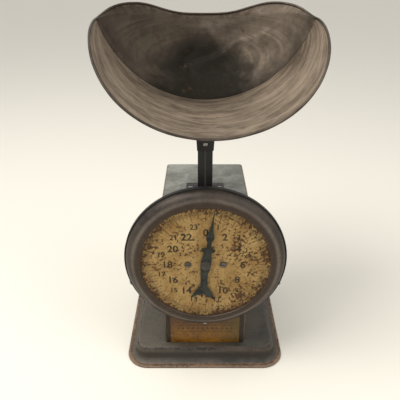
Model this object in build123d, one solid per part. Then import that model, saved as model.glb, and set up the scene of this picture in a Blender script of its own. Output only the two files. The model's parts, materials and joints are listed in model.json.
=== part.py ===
from build123d import *
import os
from math import acos, ceil, cos, pi, radians, sin, sqrt, tan

# Household dial scale with a tin scoop. Millimetres. +Z is up, the dial faces -Y, and the origin is
# the centre of the underside of the base.

# ---- base stamping
BASE_WIDTH = 203.2
BASE_DEPTH = 190.5
BASE_HEIGHT = 22.0
BASE_CORNER = 28.0
BASE_SHEET = 1.2
BASE_HEM = 2.4
COVE_FOOT = 6.2
COVE_INSET = 17.0
COVE_HOLLOW = 1.3
COVE_SHARE = 0.35
SHOULDER_SWELL = 1.5
SHOULDER_SHARE = 0.68

# ---- sheet-steel case
CASE_WIDTH = 103.9
CASE_DEPTH = 144.1
CASE_HEIGHT = 191.3
CASE_SHEET = 1.0
CASE_CORNER = 4.0
CASE_TOP_EDGE = 2.5
CASE_FLANGE = 7.0
COVER_MARGIN_X = 7.95
COVER_MARGIN_Z = 13.15
COVER_LAP = 6.0
BAND_MARGIN = 7.95
BAND_SHEET = 0.3

# ---- dial, pan and bezel
DIAL_BELOW_TOP = 54.7
BEZEL_RADIUS = 91.7
BEZEL_BAND = 17.9
BEZEL_RISE = 12.0
BEZEL_SHEET = 0.9
BEZEL_LIP = 2.4
LIP_TURN = 1.75
PAN_DEPTH = 9.3
PAN_SHEET = 1.2
PAN_LIP = 1.6
PAN_TAPER = 6.0
PAN_GAP = 0.25
DIAL_SHEET = 0.8
DIAL_SETBACK = 3.05
DIAL_LAP = 4.0
PILLAR_SPACING = 40.0
PILLAR_RADIUS = 4.0
PILLAR_TAIL = 2.0
PILLAR_HEAD = 3.0

# ---- pointer and its shaft
POINTER_CLEAR = 3.1
POINTER_TAIL = 46.0
POINTER_SHEET = 0.6
POINTER_GAP = 2.0
POINTER_REST = 7.5
HUB_RADIUS = 6.2
HUB_BOSS = 3.5
HUB_FRONT = 1.5
HUB_BACK = 1.4
SHAFT_RADIUS = 1.5
SHAFT_SETBACK = 0.2
BUSH_RADIUS = 5.0
BUSH_FLANGE = 2.0
BUSH_WALL = 1.5
RUNNING_GAP = 0.05

# ---- rack and pinion: one turn of the pointer is one full travel of the post
GEAR_MODULE = 0.45
PINION_TEETH = 18
PRESSURE_ANGLE = 20.0
BACKLASH = 0.08
RACK_WIDTH = 6.0
RACK_BACK = 9.5
PINION_BEHIND_CASE = 25.0
RACK_SPARE_TEETH = 3
RACK_BLANK_TEETH = 5
RACK_ARM = 2.0
RACK_ARM_HEIGHT = 9.0
PINION_OVERHANG = 0.5
SHAFT_TAIL = 9.0
REAR_PLATE_GAP = 4.0
BRACKET_HALF_HEIGHT = 7.0
BRACKET_LEG_X = -13.0

# ---- post, load bar and guides
POST_Y = -8.0
POST_HALF_WIDTH = 9.0
POST_SHEET = 2.2
GUIDE_GAP = 0.35
GUIDE_SHEET = 1.5
SLIDE_ROOM = 2.0
LOWER_GUIDE_RISE = 40.0
LOAD_BAR = 4.0
LOAD_BAR_ROOM = 12.0

# ---- springs and the zero adjustment
SPRING_SPACING = 58.0
SPRING_RADIUS = 5.5
WIRE_RADIUS = 0.8
SPRING_PITCH = 3.0
PLUG_LENGTH = 7.0
PLUG_STEM = 2.0
NUT_ACROSS = 8.0
NUT_HEIGHT = 3.0
HANGER_SHEET = 3.0
HANGER_BELOW_TOP = 12.3
HANGER_RIM = 4.0
ZERO_SCREW_AHEAD = 15.0
ZERO_SCREW_RADIUS = 2.5
KNOB_RADIUS = 8.0
KNOB_HEIGHT = 7.0
KNOB_FLUTES = 24
FLUTE_RADIUS = 0.7
KNOB_SLOT_DEPTH = 2.0

# ---- inner frame
FRAME_MARGIN = 9.95
FRAME_FRONT = -40.0
FRAME_BACK = 10.0
FRAME_SHEET = 1.5

# ---- scoop and its seat on the post
SEAT_RISE = 88.55
SEAT_RADIUS = 32.4
SEAT_SHEET = 2.5
SEAT_BOSS = 32.5
SADDLE_LAP = 0.7
SADDLE_FLARE = 2.0
FOOT_GAP = 0.6
FOOT_SHEET = 1.2
FOOT_SKIRT = 5.0
SCOOP_CLEAR = 11.0
SCOOP_RADIUS = 130.3
SCOOP_SHEET = 0.8
SCOOP_FRONT = -101.9
SCOOP_SEAM = 38.5
SCOOP_BULGE = 72.5
SCOOP_YAW = 1.9
SCOOP_OFFSET_X = 2.8
LIP_STRAIGHT = 8.0
SIDE_RISE = 93.0
EAR_RISE = 105.0
BACK_RISE = 91.0
WIRE_EDGE = 1.5
SEAM_STRAP = 12.0

# ---- fasteners
RIVET_RADIUS = 1.6
RIVET_HEAD = 2.6
RIVET_DOME = 1.0
SCREW_RADIUS = 1.5
SCREW_HEAD = 3.2
SCREW_HEAD_HEIGHT = 1.3
SCREW_SLOT = 0.8
COVER_SCREW_LENGTH = 6.0

# ---- places that follow from the sizes above
CASE_TOP = BASE_HEIGHT + CASE_HEIGHT
COVER_WIDTH = CASE_WIDTH - 2 * COVER_MARGIN_X
COVER_HEIGHT = CASE_HEIGHT - 2 * COVER_MARGIN_Z
BAND_WIDTH = CASE_WIDTH - 2 * BAND_MARGIN
FRAME_WIDTH = CASE_WIDTH - 2 * FRAME_MARGIN
SIGHT_RADIUS = BEZEL_RADIUS - BEZEL_BAND
POINTER_LENGTH = SIGHT_RADIUS - POINTER_CLEAR
ZERO_SCREW_Y = POST_Y - POST_HALF_WIDTH - ZERO_SCREW_AHEAD
CASE_FRONT = -CASE_DEPTH / 2
CASE_BACK = CASE_DEPTH / 2
FRONT_INNER = CASE_FRONT + CASE_SHEET
TOP_INNER = CASE_TOP - CASE_SHEET
DIAL_Z = CASE_TOP - DIAL_BELOW_TOP
RIM_Y = CASE_FRONT - PAN_DEPTH
BEZEL_FRONT = RIM_Y - BEZEL_RISE
DIAL_FRONT = BEZEL_FRONT + DIAL_SETBACK
DIAL_BACK = DIAL_FRONT + DIAL_SHEET
PAN_INNER = BEZEL_RADIUS + PAN_GAP
PAN_OUTER = PAN_INNER + PAN_SHEET
PAN_FACE = CASE_FRONT - CASE_SHEET
PAN_SHOULDER = RIM_Y + 2 * SCREW_RADIUS
POINTER_BACK = DIAL_FRONT - POINTER_GAP
POINTER_FRONT = POINTER_BACK - POINTER_SHEET
PITCH_RADIUS = GEAR_MODULE * PINION_TEETH / 2
TOOTH_PITCH = pi * GEAR_MODULE
TRAVEL = 2 * pi * PITCH_RADIUS
RACK_Y = FRONT_INNER + PINION_BEHIND_CASE
HANGER_TOP = TOP_INNER - HANGER_BELOW_TOP + CASE_SHEET
HANGER_Z = HANGER_TOP - HANGER_SHEET
LOWER_GUIDE_Z = BASE_HEIGHT + LOWER_GUIDE_RISE
LOAD_BAR_Z = LOWER_GUIDE_Z + TRAVEL + LOAD_BAR_ROOM
POST_FOOT = LOWER_GUIDE_Z - LOAD_BAR_ROOM + LOAD_BAR
SEAT_TOP = CASE_TOP + SEAT_RISE
SCOOP_FLOOR = SEAT_TOP + SCOOP_CLEAR
SCOOP_AXIS = SCOOP_FLOOR + SCOOP_RADIUS
SCOOP_OUTER = SCOOP_RADIUS + SCOOP_SHEET


def save(name, *solids):
    """Write one node, as a single solid or as a group of separate ones."""
    shape = solids[0] if len(solids) == 1 else Compound(children=list(solids))
    export_step(shape, f"parts/{name}.step")


def block(x, y, z):
    """A box between two limits along each axis."""
    size = Box(x[1] - x[0], y[1] - y[0], z[1] - z[0])
    return Pos((x[0] + x[1]) / 2, (y[0] + y[1]) / 2, (z[0] + z[1]) / 2) * size


def rod_z(radius, z0, z1, x=0.0, y=0.0):
    """A round bar along Z."""
    return Pos(x, y, (z0 + z1) / 2) * Cylinder(radius, z1 - z0)


def rod_y(radius, y0, y1, x=0.0, z=0.0):
    """A round bar along Y."""
    return Pos(x, (y0 + y1) / 2, z) * Rot(90, 0, 0) * Cylinder(radius, y1 - y0)


def prism_z(sketch, z0, z1):
    """A flat outline in X and Y, raised from z0 to z1."""
    return Pos(0, 0, z0) * extrude(sketch, amount=z1 - z0)


def prism_y(sketch, y0, y1):
    """A flat outline in X and Z, carried from y0 to y1."""
    return Pos(0, y1, 0) * extrude(Plane.XZ * sketch, amount=y1 - y0)


def prism_x(sketch, x0, x1):
    """A flat outline in Y and Z, carried from x0 to x1."""
    return Pos(x0, 0, 0) * extrude(Plane.YZ * sketch, amount=x1 - x0)


def turned(outline):
    """An outline of radius and Y, turned about the dial's axis."""
    return Pos(0, 0, DIAL_Z) * revolve(make_face(outline), Axis.Y, 360)


def rivet(length):
    """A domed rivet along Z: its upper head rests on z = 0 and its tail head is length below."""
    upper = Pos(0, 0, RIVET_DOME / 2) * Cylinder(RIVET_HEAD, RIVET_DOME)
    upper = fillet(upper.edges().group_by(Axis.Z)[-1], RIVET_DOME * 0.8)
    shank = Pos(0, 0, -length / 2) * Cylinder(RIVET_RADIUS, length)
    tail = Pos(0, 0, -length - RIVET_DOME / 2) * Cylinder(RIVET_HEAD, RIVET_DOME)
    return upper + shank + tail


def slotted_screw(length):
    """A cheese-head screw along Z: the head rests on z = 0 and the shank goes down."""
    head = Pos(0, 0, SCREW_HEAD_HEIGHT / 2) * Cylinder(SCREW_HEAD, SCREW_HEAD_HEIGHT)
    head = fillet(head.edges().group_by(Axis.Z)[-1], SCREW_HEAD_HEIGHT * 0.4)
    slot = Pos(0, 0, SCREW_HEAD_HEIGHT) * Box(2 * SCREW_HEAD, SCREW_SLOT, SCREW_HEAD_HEIGHT)
    shank = Pos(0, 0, -length / 2) * Cylinder(SCREW_RADIUS, length)
    return head - slot + shank


def four_corners(half_x, half_y):
    """The four points of a rectangle about the origin."""
    return [(x, y) for x in (-half_x, half_x) for y in (-half_y, half_y)]


# ---- base

def base_profile():
    """Hem, hollow cove and round shoulder of the stamping, as inset from the edge and height."""
    waist = (COVE_FOOT + COVE_INSET) / 2 - BASE_SHEET / 2
    half = (BASE_HEM + BASE_HEIGHT) / 2
    inner_waist = waist + BASE_SHEET
    cove_mid = (waist - COVE_HOLLOW, BASE_HEM + (half - BASE_HEM) * COVE_SHARE)
    shoulder_mid = (waist + SHOULDER_SWELL, half + (BASE_HEIGHT - half) * SHOULDER_SHARE)
    under_shoulder = (shoulder_mid[0] + BASE_SHEET, shoulder_mid[1] - BASE_SHEET * 0.6)
    under_cove = (cove_mid[0] + BASE_SHEET, cove_mid[1] - BASE_SHEET * 0.6)
    outline = [
        Line((0, 0), (0, BASE_HEM)),
        Line((0, BASE_HEM), (COVE_FOOT - BASE_SHEET, BASE_HEM)),
        ThreePointArc((COVE_FOOT - BASE_SHEET, BASE_HEM), cove_mid, (waist, half)),
        ThreePointArc((waist, half), shoulder_mid, (COVE_INSET, BASE_HEIGHT)),
        Line((COVE_INSET, BASE_HEIGHT), (COVE_INSET, BASE_HEIGHT - BASE_SHEET)),
        ThreePointArc((COVE_INSET, BASE_HEIGHT - BASE_SHEET), under_shoulder, (inner_waist, half)),
        ThreePointArc((inner_waist, half), under_cove, (COVE_FOOT, BASE_SHEET)),
        Line((COVE_FOOT, BASE_SHEET), (COVE_FOOT, 0)),
        Line((COVE_FOOT, 0), (0, 0)),
    ]
    return Pos(-BASE_DEPTH / 2, 0) * make_face(outline)


def base_path():
    """The rounded rectangle of the base's edge, starting at the middle of the front."""
    half_w = BASE_WIDTH / 2
    half_d = BASE_DEPTH / 2
    flat_w = half_w - BASE_CORNER
    flat_d = half_d - BASE_CORNER
    bend = BASE_CORNER * (1 - cos(radians(45)))
    stops = [
        Line((0, -half_d), (flat_w, -half_d)),
        ThreePointArc((flat_w, -half_d), (half_w - bend, -half_d + bend), (half_w, -flat_d)),
        Line((half_w, -flat_d), (half_w, flat_d)),
        ThreePointArc((half_w, flat_d), (half_w - bend, half_d - bend), (flat_w, half_d)),
        Line((flat_w, half_d), (-flat_w, half_d)),
        ThreePointArc((-flat_w, half_d), (bend - half_w, half_d - bend), (-half_w, flat_d)),
        Line((-half_w, flat_d), (-half_w, -flat_d)),
        ThreePointArc((-half_w, -flat_d), (bend - half_w, bend - half_d), (-flat_w, -half_d)),
        Line((-flat_w, -half_d), (0, -half_d)),
    ]
    return Wire(stops)


def inset_plate(inset, z0, z1):
    """A flat plate with the base's outline, inset all round."""
    outline = RectangleRounded(BASE_WIDTH - 2 * inset, BASE_DEPTH - 2 * inset, BASE_CORNER - inset)
    return prism_z(outline, z0, z1)


def case_rivet_places():
    inset = CASE_SHEET + CASE_FLANGE / 2
    return four_corners(CASE_WIDTH / 2 - inset, CASE_DEPTH / 2 - inset - CASE_FLANGE)


def frame_rivet_places():
    middle = (FRAME_FRONT + FRAME_BACK) / 2
    half_y = (FRAME_BACK - FRAME_FRONT) / 2 - 2 * RIVET_HEAD
    return [(x, y + middle) for x, y in four_corners(FRAME_WIDTH / 2 - 3 * RIVET_HEAD, half_y)]


def make_base():
    ring = sweep(Plane.YZ * base_profile(), path=base_path())
    plateau = inset_plate(COVE_INSET, BASE_HEIGHT - BASE_SHEET, BASE_HEIGHT)
    base = ring + plateau
    for x, y in case_rivet_places() + frame_rivet_places():
        base -= rod_z(RIVET_RADIUS, BASE_HEIGHT - 2 * BASE_SHEET, BASE_HEIGHT + BASE_SHEET, x, y)
    save("base", base)
    save("bottom_plate", inset_plate(COVE_FOOT, 0, BASE_SHEET))


# ---- case

def cover_screw_places():
    """Screw places round the back cover, as X and Z."""
    middle = (BASE_HEIGHT + CASE_TOP) / 2
    half_x = (COVER_WIDTH - COVER_LAP) / 2
    half_z = (COVER_HEIGHT - COVER_LAP) / 2
    return [(x, z + middle) for x, z in four_corners(half_x, half_z)]


def guide_screw_places():
    return [(x, POST_Y) for x in (-2 * POST_HALF_WIDTH, 2 * POST_HALF_WIDTH)]


def pan_rivet_places():
    """Rivets that join the pan to the case, as X and Z."""
    return [(x, z + DIAL_Z) for x, z in four_corners(CASE_WIDTH * 0.36, DIAL_BELOW_TOP * 0.55)]


def pillar_places():
    return [(-PILLAR_SPACING / 2, DIAL_Z), (PILLAR_SPACING / 2, DIAL_Z)]


def make_case():
    outer = prism_z(RectangleRounded(CASE_WIDTH, CASE_DEPTH, CASE_CORNER), BASE_HEIGHT, CASE_TOP)
    outer = fillet(outer.edges().group_by(Axis.Z)[-1], CASE_TOP_EDGE)
    hollow = RectangleRounded(
        CASE_WIDTH - 2 * CASE_SHEET, CASE_DEPTH - 2 * CASE_SHEET, CASE_CORNER - CASE_SHEET
    )
    inside = prism_z(hollow, BASE_HEIGHT + CASE_SHEET, TOP_INNER)
    inside = fillet(inside.edges().group_by(Axis.Z)[-1], CASE_TOP_EDGE - CASE_SHEET)
    reach = CASE_SHEET + CASE_FLANGE
    mouth = Rectangle(CASE_WIDTH - 2 * reach, CASE_DEPTH - 2 * reach)
    shell = outer - inside - prism_z(mouth, BASE_HEIGHT - CASE_SHEET, BASE_HEIGHT + 2 * CASE_SHEET)
    middle = (BASE_HEIGHT + CASE_TOP) / 2
    half_w = COVER_WIDTH / 2 - COVER_LAP
    half_h = COVER_HEIGHT / 2 - COVER_LAP
    wall = (CASE_BACK - reach, CASE_BACK + reach)
    shell -= block((-half_w, half_w), wall, (middle - half_h, middle + half_h))
    shell -= post_window(TOP_INNER - CASE_SHEET, CASE_TOP + CASE_SHEET)
    shell -= rod_z(ZERO_SCREW_RADIUS + 2 * RUNNING_GAP, TOP_INNER - 1, CASE_TOP + 1, 0, ZERO_SCREW_Y)
    shell -= rod_y(BUSH_RADIUS, CASE_FRONT - 1, FRONT_INNER + 1, 0, DIAL_Z)
    for x, z in pillar_places():
        shell -= rod_y(PILLAR_TAIL, CASE_FRONT - 1, FRONT_INNER + 1, x, z)
    for x, z in pan_rivet_places():
        shell -= rod_y(RIVET_RADIUS, CASE_FRONT - 1, FRONT_INNER + 1, x, z)
    for x, z in cover_screw_places():
        shell -= rod_y(SCREW_RADIUS, CASE_BACK - 2, CASE_BACK + 1, x, z)
    for x, y in case_rivet_places():
        shell -= rod_z(RIVET_RADIUS, BASE_HEIGHT - 1, BASE_HEIGHT + 2 * CASE_SHEET, x, y)
    for x, y in guide_screw_places():
        shell -= rod_z(SCREW_RADIUS, TOP_INNER - 1, CASE_TOP + 1, x, y)
    save("case_shell", shell)


def make_case_rivets():
    grip = CASE_SHEET + BASE_SHEET
    top = BASE_HEIGHT + CASE_SHEET
    save("case_rivets", *[Pos(x, y, top) * rivet(grip) for x, y in case_rivet_places()])
    grip = FRAME_SHEET + BASE_SHEET
    top = BASE_HEIGHT + FRAME_SHEET
    save("frame_rivets", *[Pos(x, y, top) * rivet(grip) for x, y in frame_rivet_places()])


def make_back_cover():
    middle = (BASE_HEIGHT + CASE_TOP) / 2
    plate = Pos(0, middle) * RectangleRounded(COVER_WIDTH, COVER_HEIGHT, CASE_CORNER)
    cover = prism_y(plate, CASE_BACK, CASE_BACK + CASE_SHEET)
    screws = []
    for x, z in cover_screw_places():
        cover -= rod_y(SCREW_RADIUS, CASE_BACK - 1, CASE_BACK + 2, x, z)
        screws.append(Pos(x, CASE_BACK + CASE_SHEET, z) * Rot(-90, 0, 0) * slotted_screw(COVER_SCREW_LENGTH))
    save("back_cover", cover)
    save("back_cover_screws", *screws)


def make_name_band():
    top = DIAL_Z - PAN_OUTER - BAND_SHEET
    bottom = BASE_HEIGHT + BAND_SHEET
    band = block(
        (-BAND_WIDTH / 2, BAND_WIDTH / 2), (CASE_FRONT - BAND_SHEET, CASE_FRONT), (bottom, top)
    )
    save("name_band", band)


# ---- post and guides

def post_outline():
    """A right-angled section with its ridge to the front."""
    reach = POST_HALF_WIDTH
    ridge = POST_Y - reach / 2
    wall = POST_SHEET * sqrt(2)
    tip = reach - wall / 2
    tip_y = ridge + reach + wall / 2
    outer = [(-reach, ridge + reach), (0, ridge), (reach, ridge + reach)]
    inner = [(tip, tip_y), (0, ridge + wall), (-tip, tip_y)]
    return make_face(Polyline(*outer, *inner, close=True))


def post_window(z0, z1):
    """A plain hole that the post passes through with room to spare."""
    half_x = POST_HALF_WIDTH + SLIDE_ROOM
    half_y = POST_HALF_WIDTH / 2 + SLIDE_ROOM + POST_SHEET
    return block((-half_x, half_x), (POST_Y - half_y, POST_Y + half_y), (z0, z1))


def guide_slot(z0, z1):
    """A slot with the post's own section and a sliding gap all round."""
    return prism_z(offset(post_outline(), GUIDE_GAP, kind=Kind.INTERSECTION), z0, z1)


def post_solid():
    return prism_z(post_outline(), POST_FOOT, SEAT_TOP - SEAT_SHEET - SLIDE_ROOM)


def saddle_rivet_heights():
    bottom = SEAT_TOP - SEAT_SHEET - SEAT_BOSS
    return [bottom + SEAT_BOSS * share for share in (0.25, 0.62)]


def make_post():
    post = post_solid()
    for z in saddle_rivet_heights():
        post -= rod_y(RIVET_RADIUS, POST_Y - 3 * POST_HALF_WIDTH, POST_Y + 3 * POST_HALF_WIDTH, 0, z)
    save("post", post)


def make_saddle():
    """The seat disc on its tapered socket, riveted over the top of the post."""
    top = SEAT_TOP - SEAT_SHEET
    low = top - SEAT_BOSS
    depth = POST_HALF_WIDTH + 2 * POST_SHEET + 1
    width = 2 * (POST_HALF_WIDTH + SADDLE_LAP)
    lower = Pos(0, POST_Y, low) * Rectangle(width, depth)
    upper = Pos(0, POST_Y, top) * Rectangle(width + 2 * SADDLE_FLARE, depth + 2 * SADDLE_FLARE)
    boss = loft([lower, upper])
    tilt = SADDLE_FLARE * RIVET_HEAD / SEAT_BOSS
    seat = boss + rod_z(SEAT_RADIUS, top, SEAT_TOP, 0, POST_Y)
    seat -= prism_z(post_outline(), low - 1, top - SLIDE_ROOM)
    rivets = []
    for z in saddle_rivet_heights():
        half = depth / 2 + SADDLE_FLARE * (z - low) / SEAT_BOSS + tilt
        seat -= rod_y(RIVET_RADIUS, POST_Y - depth, POST_Y + depth, 0, z)
        front = Pos(0, POST_Y - half, z) * Rot(90, 0, 0)
        rivets.append(front * rivet(2 * half))
    save("post_saddle", seat)
    save("saddle_rivets", *rivets)


def make_guides():
    half_x = 2 * POST_HALF_WIDTH + 2 * RIVET_HEAD
    half_y = POST_HALF_WIDTH + 2 * POST_SHEET + SLIDE_ROOM
    top = block((-half_x, half_x), (POST_Y - half_y, POST_Y + half_y), (CASE_TOP, CASE_TOP + GUIDE_SHEET))
    top -= guide_slot(CASE_TOP - 1, CASE_TOP + 2 * GUIDE_SHEET)
    screws = []
    for x, y in guide_screw_places():
        top -= rod_z(SCREW_RADIUS, CASE_TOP - 1, CASE_TOP + 2 * GUIDE_SHEET, x, y)
        grip = GUIDE_SHEET + CASE_SHEET + FRAME_SHEET + 1
        screws.append(Pos(x, y, CASE_TOP + GUIDE_SHEET) * slotted_screw(grip))
    save("top_guide", top)
    save("top_guide_screws", *screws)
    span = FRAME_WIDTH / 2 - FRAME_SHEET
    depth = (POST_Y - half_y, POST_Y + half_y)
    bar_top = LOWER_GUIDE_Z + GUIDE_SHEET
    low = block((-span, span), depth, (LOWER_GUIDE_Z, bar_top))
    for side in (-1, 1):
        ends = sorted((side * span, side * (span - GUIDE_SHEET)))
        low += block(ends, depth, (LOWER_GUIDE_Z - LOAD_BAR_ROOM, bar_top))
    low -= guide_slot(LOWER_GUIDE_Z - 1, LOWER_GUIDE_Z + 2 * GUIDE_SHEET)
    save("lower_guide", low)


def make_frame():
    """The strap frame that stands inside the case, open at the front and the back."""
    half = FRAME_WIDTH / 2
    depth = (FRAME_FRONT, FRAME_BACK)
    frame = block((-half, half), depth, (BASE_HEIGHT, TOP_INNER))
    inner = half - FRAME_SHEET
    low = BASE_HEIGHT + FRAME_SHEET
    high = TOP_INNER - FRAME_SHEET
    frame -= block((-inner, inner), (FRAME_FRONT - 1, FRAME_BACK + 1), (low, high))
    frame -= post_window(high - 1, TOP_INNER + 1)
    frame -= rod_z(ZERO_SCREW_RADIUS + 2 * RUNNING_GAP, high - 1, TOP_INNER + 1, 0, ZERO_SCREW_Y)
    for x, y in guide_screw_places():
        frame -= rod_z(SCREW_RADIUS, high - 1, TOP_INNER + 1, x, y)
    for x, y in frame_rivet_places():
        frame -= rod_z(RIVET_RADIUS, BASE_HEIGHT - 1, low + 1, x, y)
    save("movement_frame", frame)


# ---- springs and zero adjustment

def spring_places():
    return [(-SPRING_SPACING / 2, POST_Y), (SPRING_SPACING / 2, POST_Y)]


def make_hanger():
    half = SPRING_SPACING / 2 + NUT_ACROSS
    half_y = POST_HALF_WIDTH / 2 + 2 * SLIDE_ROOM + POST_SHEET + HANGER_RIM
    levels = (HANGER_Z, HANGER_TOP)
    bar = block((-half, half), (POST_Y - half_y, POST_Y + half_y), levels)
    tongue_front = ZERO_SCREW_Y - 2.5 * ZERO_SCREW_RADIUS
    bar += block((-3 * ZERO_SCREW_RADIUS, 3 * ZERO_SCREW_RADIUS), (tongue_front, POST_Y - half_y), levels)
    bar -= post_window(HANGER_Z - 1, HANGER_TOP + 1)
    bar -= rod_z(ZERO_SCREW_RADIUS + RUNNING_GAP, HANGER_Z - 1, HANGER_TOP + 1, 0, ZERO_SCREW_Y)
    for x, y in spring_places():
        bar -= rod_z(PLUG_STEM, HANGER_Z - 1, HANGER_TOP + 1, x, y)
    save("spring_hanger", bar)


def make_load_bar():
    half = SPRING_SPACING / 2 + NUT_ACROSS
    top = LOAD_BAR_Z + LOAD_BAR
    bar = block((-half, half), (POST_Y - NUT_ACROSS, POST_Y + NUT_ACROSS), (LOAD_BAR_Z, top))
    bar -= prism_z(post_outline(), LOAD_BAR_Z - 1, top + 1)
    for x, y in spring_places():
        bar -= rod_z(PLUG_STEM, LOAD_BAR_Z - 1, top + 1, x, y)
    save("load_bar", bar)


def spring_plug(shoulder_z, direction, bar):
    """A plug that fills the end coils, with a stem through its bar. direction is +1 for the top end."""
    radius = SPRING_RADIUS - WIRE_RADIUS - 2 * RUNNING_GAP
    body = sorted((shoulder_z, shoulder_z - direction * PLUG_LENGTH))
    stem = sorted((shoulder_z, shoulder_z + direction * (bar + NUT_HEIGHT + 1)))
    return rod_z(radius, *body) + rod_z(PLUG_STEM, *stem)


def nut(z0):
    outline = RegularPolygon(NUT_ACROSS / 2, 6, major_radius=False) - Circle(PLUG_STEM)
    return prism_z(outline, z0, z0 + NUT_HEIGHT)


def make_springs():
    top = HANGER_Z
    bottom = LOAD_BAR_Z + LOAD_BAR
    gap = WIRE_RADIUS + 2 * RUNNING_GAP
    height = top - bottom - 2 * gap
    pitch = height / ceil(height / SPRING_PITCH)
    helix = Helix(pitch, height, SPRING_RADIUS)
    wire = Plane(origin=helix @ 0, z_dir=helix % 0) * Circle(WIRE_RADIUS)
    coil = sweep(wire, path=helix, is_frenet=True)
    for name, (x, y) in zip(("spring_left", "spring_right"), spring_places()):
        save(name, Pos(x, y, bottom + gap) * coil)
    upper = spring_plug(top, 1, HANGER_SHEET)
    lower = spring_plug(bottom, -1, LOAD_BAR)
    save("upper_spring_plugs", *[Pos(x, y, 0) * upper for x, y in spring_places()])
    save("lower_spring_plugs", *[Pos(x, y, 0) * lower for x, y in spring_places()])
    save("upper_spring_nuts", *[Pos(x, y, 0) * nut(HANGER_TOP) for x, y in spring_places()])
    save("lower_spring_nuts", *[Pos(x, y, 0) * nut(LOAD_BAR_Z - NUT_HEIGHT) for x, y in spring_places()])


def make_zero_screw():
    """A knurled head on the case top, a long screw and a clip that keeps it from lifting."""
    outline = Circle(KNOB_RADIUS)
    for index in range(KNOB_FLUTES):
        turn = 2 * pi * index / KNOB_FLUTES
        outline -= Pos(KNOB_RADIUS * cos(turn), KNOB_RADIUS * sin(turn)) * Circle(FLUTE_RADIUS)
    knob_z = CASE_TOP + 4 * RUNNING_GAP
    knob_top = knob_z + KNOB_HEIGHT
    knob = prism_z(outline, knob_z, knob_top)
    slot_z = (knob_top - KNOB_SLOT_DEPTH, knob_top)
    knob -= block((-KNOB_RADIUS, KNOB_RADIUS), (-SCREW_SLOT / 2, SCREW_SLOT / 2), slot_z)
    screw = knob + rod_z(ZERO_SCREW_RADIUS, HANGER_Z - 2 * HANGER_SHEET, knob_z)
    clip_top = TOP_INNER - FRAME_SHEET - 4 * RUNNING_GAP
    screw += rod_z(2 * ZERO_SCREW_RADIUS, clip_top - FRAME_SHEET, clip_top)
    save("zero_screw", Pos(0, ZERO_SCREW_Y, 0) * screw)


# ---- dial, pan and bezel

def make_pan():
    """A shallow dish: flat back, tapered side and a short straight rim that holds the bezel."""
    back = PAN_FACE
    front = RIM_Y - PAN_LIP
    corners = [
        (BUSH_RADIUS, CASE_FRONT), (PAN_OUTER - PAN_TAPER, CASE_FRONT), (PAN_OUTER, PAN_SHOULDER),
        (PAN_OUTER, front), (PAN_INNER, front), (PAN_INNER, PAN_SHOULDER),
        (PAN_INNER - PAN_TAPER, back), (BUSH_RADIUS, back),
    ]
    pan = turned(Polyline(*corners, close=True))
    for x, z in pillar_places():
        pan -= rod_y(PILLAR_TAIL, back - 1, CASE_FRONT + 1, x, z)
    rivets = []
    for x, z in pan_rivet_places():
        pan -= rod_y(RIVET_RADIUS, back - 1, CASE_FRONT + 1, x, z)
        rivets.append(Pos(x, back, z) * Rot(90, 0, 0) * rivet(2 * CASE_SHEET))
    for turn in bezel_screw_turns():
        pan -= radial(turn, rod_z(SCREW_RADIUS, PAN_INNER - 1, PAN_OUTER + 1))
    save("dial_pan", pan)
    save("pan_rivets", *rivets)


def bezel_screw_turns():
    return (110, 180, 250)


def radial(turn, shape):
    """Turn something made along +Z at the dial's centre to its place round the pan's rim."""
    middle = (RIM_Y - PAN_LIP + PAN_SHOULDER) / 2
    return Pos(0, middle, DIAL_Z) * Rot(0, turn, 0) * shape


def make_bezel():
    """A domed ring: skirt inside the pan, quarter-round crown and a lip turned in on to the dial."""
    rim = BEZEL_RADIUS
    crown = SIGHT_RADIUS + BEZEL_LIP
    slope = 0.72
    mid = (crown + (rim - crown) * slope, RIM_Y - BEZEL_RISE * sqrt(1 - slope * slope))
    inner_mid = (mid[0] - BEZEL_SHEET * slope, mid[1] + BEZEL_SHEET * slope)
    skirt = PAN_SHOULDER
    lip = BEZEL_FRONT + LIP_TURN
    lip_mid = (SIGHT_RADIUS + 0.4 * LIP_TURN, BEZEL_FRONT + 0.3 * LIP_TURN)
    inner_rim = rim - BEZEL_SHEET
    outline = [
        Line((rim, skirt), (rim, RIM_Y)),
        ThreePointArc((rim, RIM_Y), mid, (crown, BEZEL_FRONT)),
        ThreePointArc((crown, BEZEL_FRONT), lip_mid, (SIGHT_RADIUS, lip)),
        Line((SIGHT_RADIUS, lip), (SIGHT_RADIUS, DIAL_FRONT)),
        Line((SIGHT_RADIUS, DIAL_FRONT), (SIGHT_RADIUS + BEZEL_SHEET, DIAL_FRONT)),
        Line((SIGHT_RADIUS + BEZEL_SHEET, DIAL_FRONT), (SIGHT_RADIUS + BEZEL_SHEET, lip)),
        Line((SIGHT_RADIUS + BEZEL_SHEET, lip), (crown, BEZEL_FRONT + BEZEL_SHEET)),
        ThreePointArc((crown, BEZEL_FRONT + BEZEL_SHEET), inner_mid, (inner_rim, RIM_Y)),
        Line((inner_rim, RIM_Y), (inner_rim, skirt)),
        Line((inner_rim, skirt), (rim, skirt)),
    ]
    bezel = turned(outline)
    screws = []
    for turn in bezel_screw_turns():
        bezel -= radial(turn, rod_z(SCREW_RADIUS, inner_rim - 1, rim + 1))
        screws.append(radial(turn, Pos(0, 0, PAN_OUTER) * slotted_screw(PAN_OUTER - inner_rim + 1)))
    save("bezel", bezel)
    save("bezel_screws", *screws)


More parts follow.
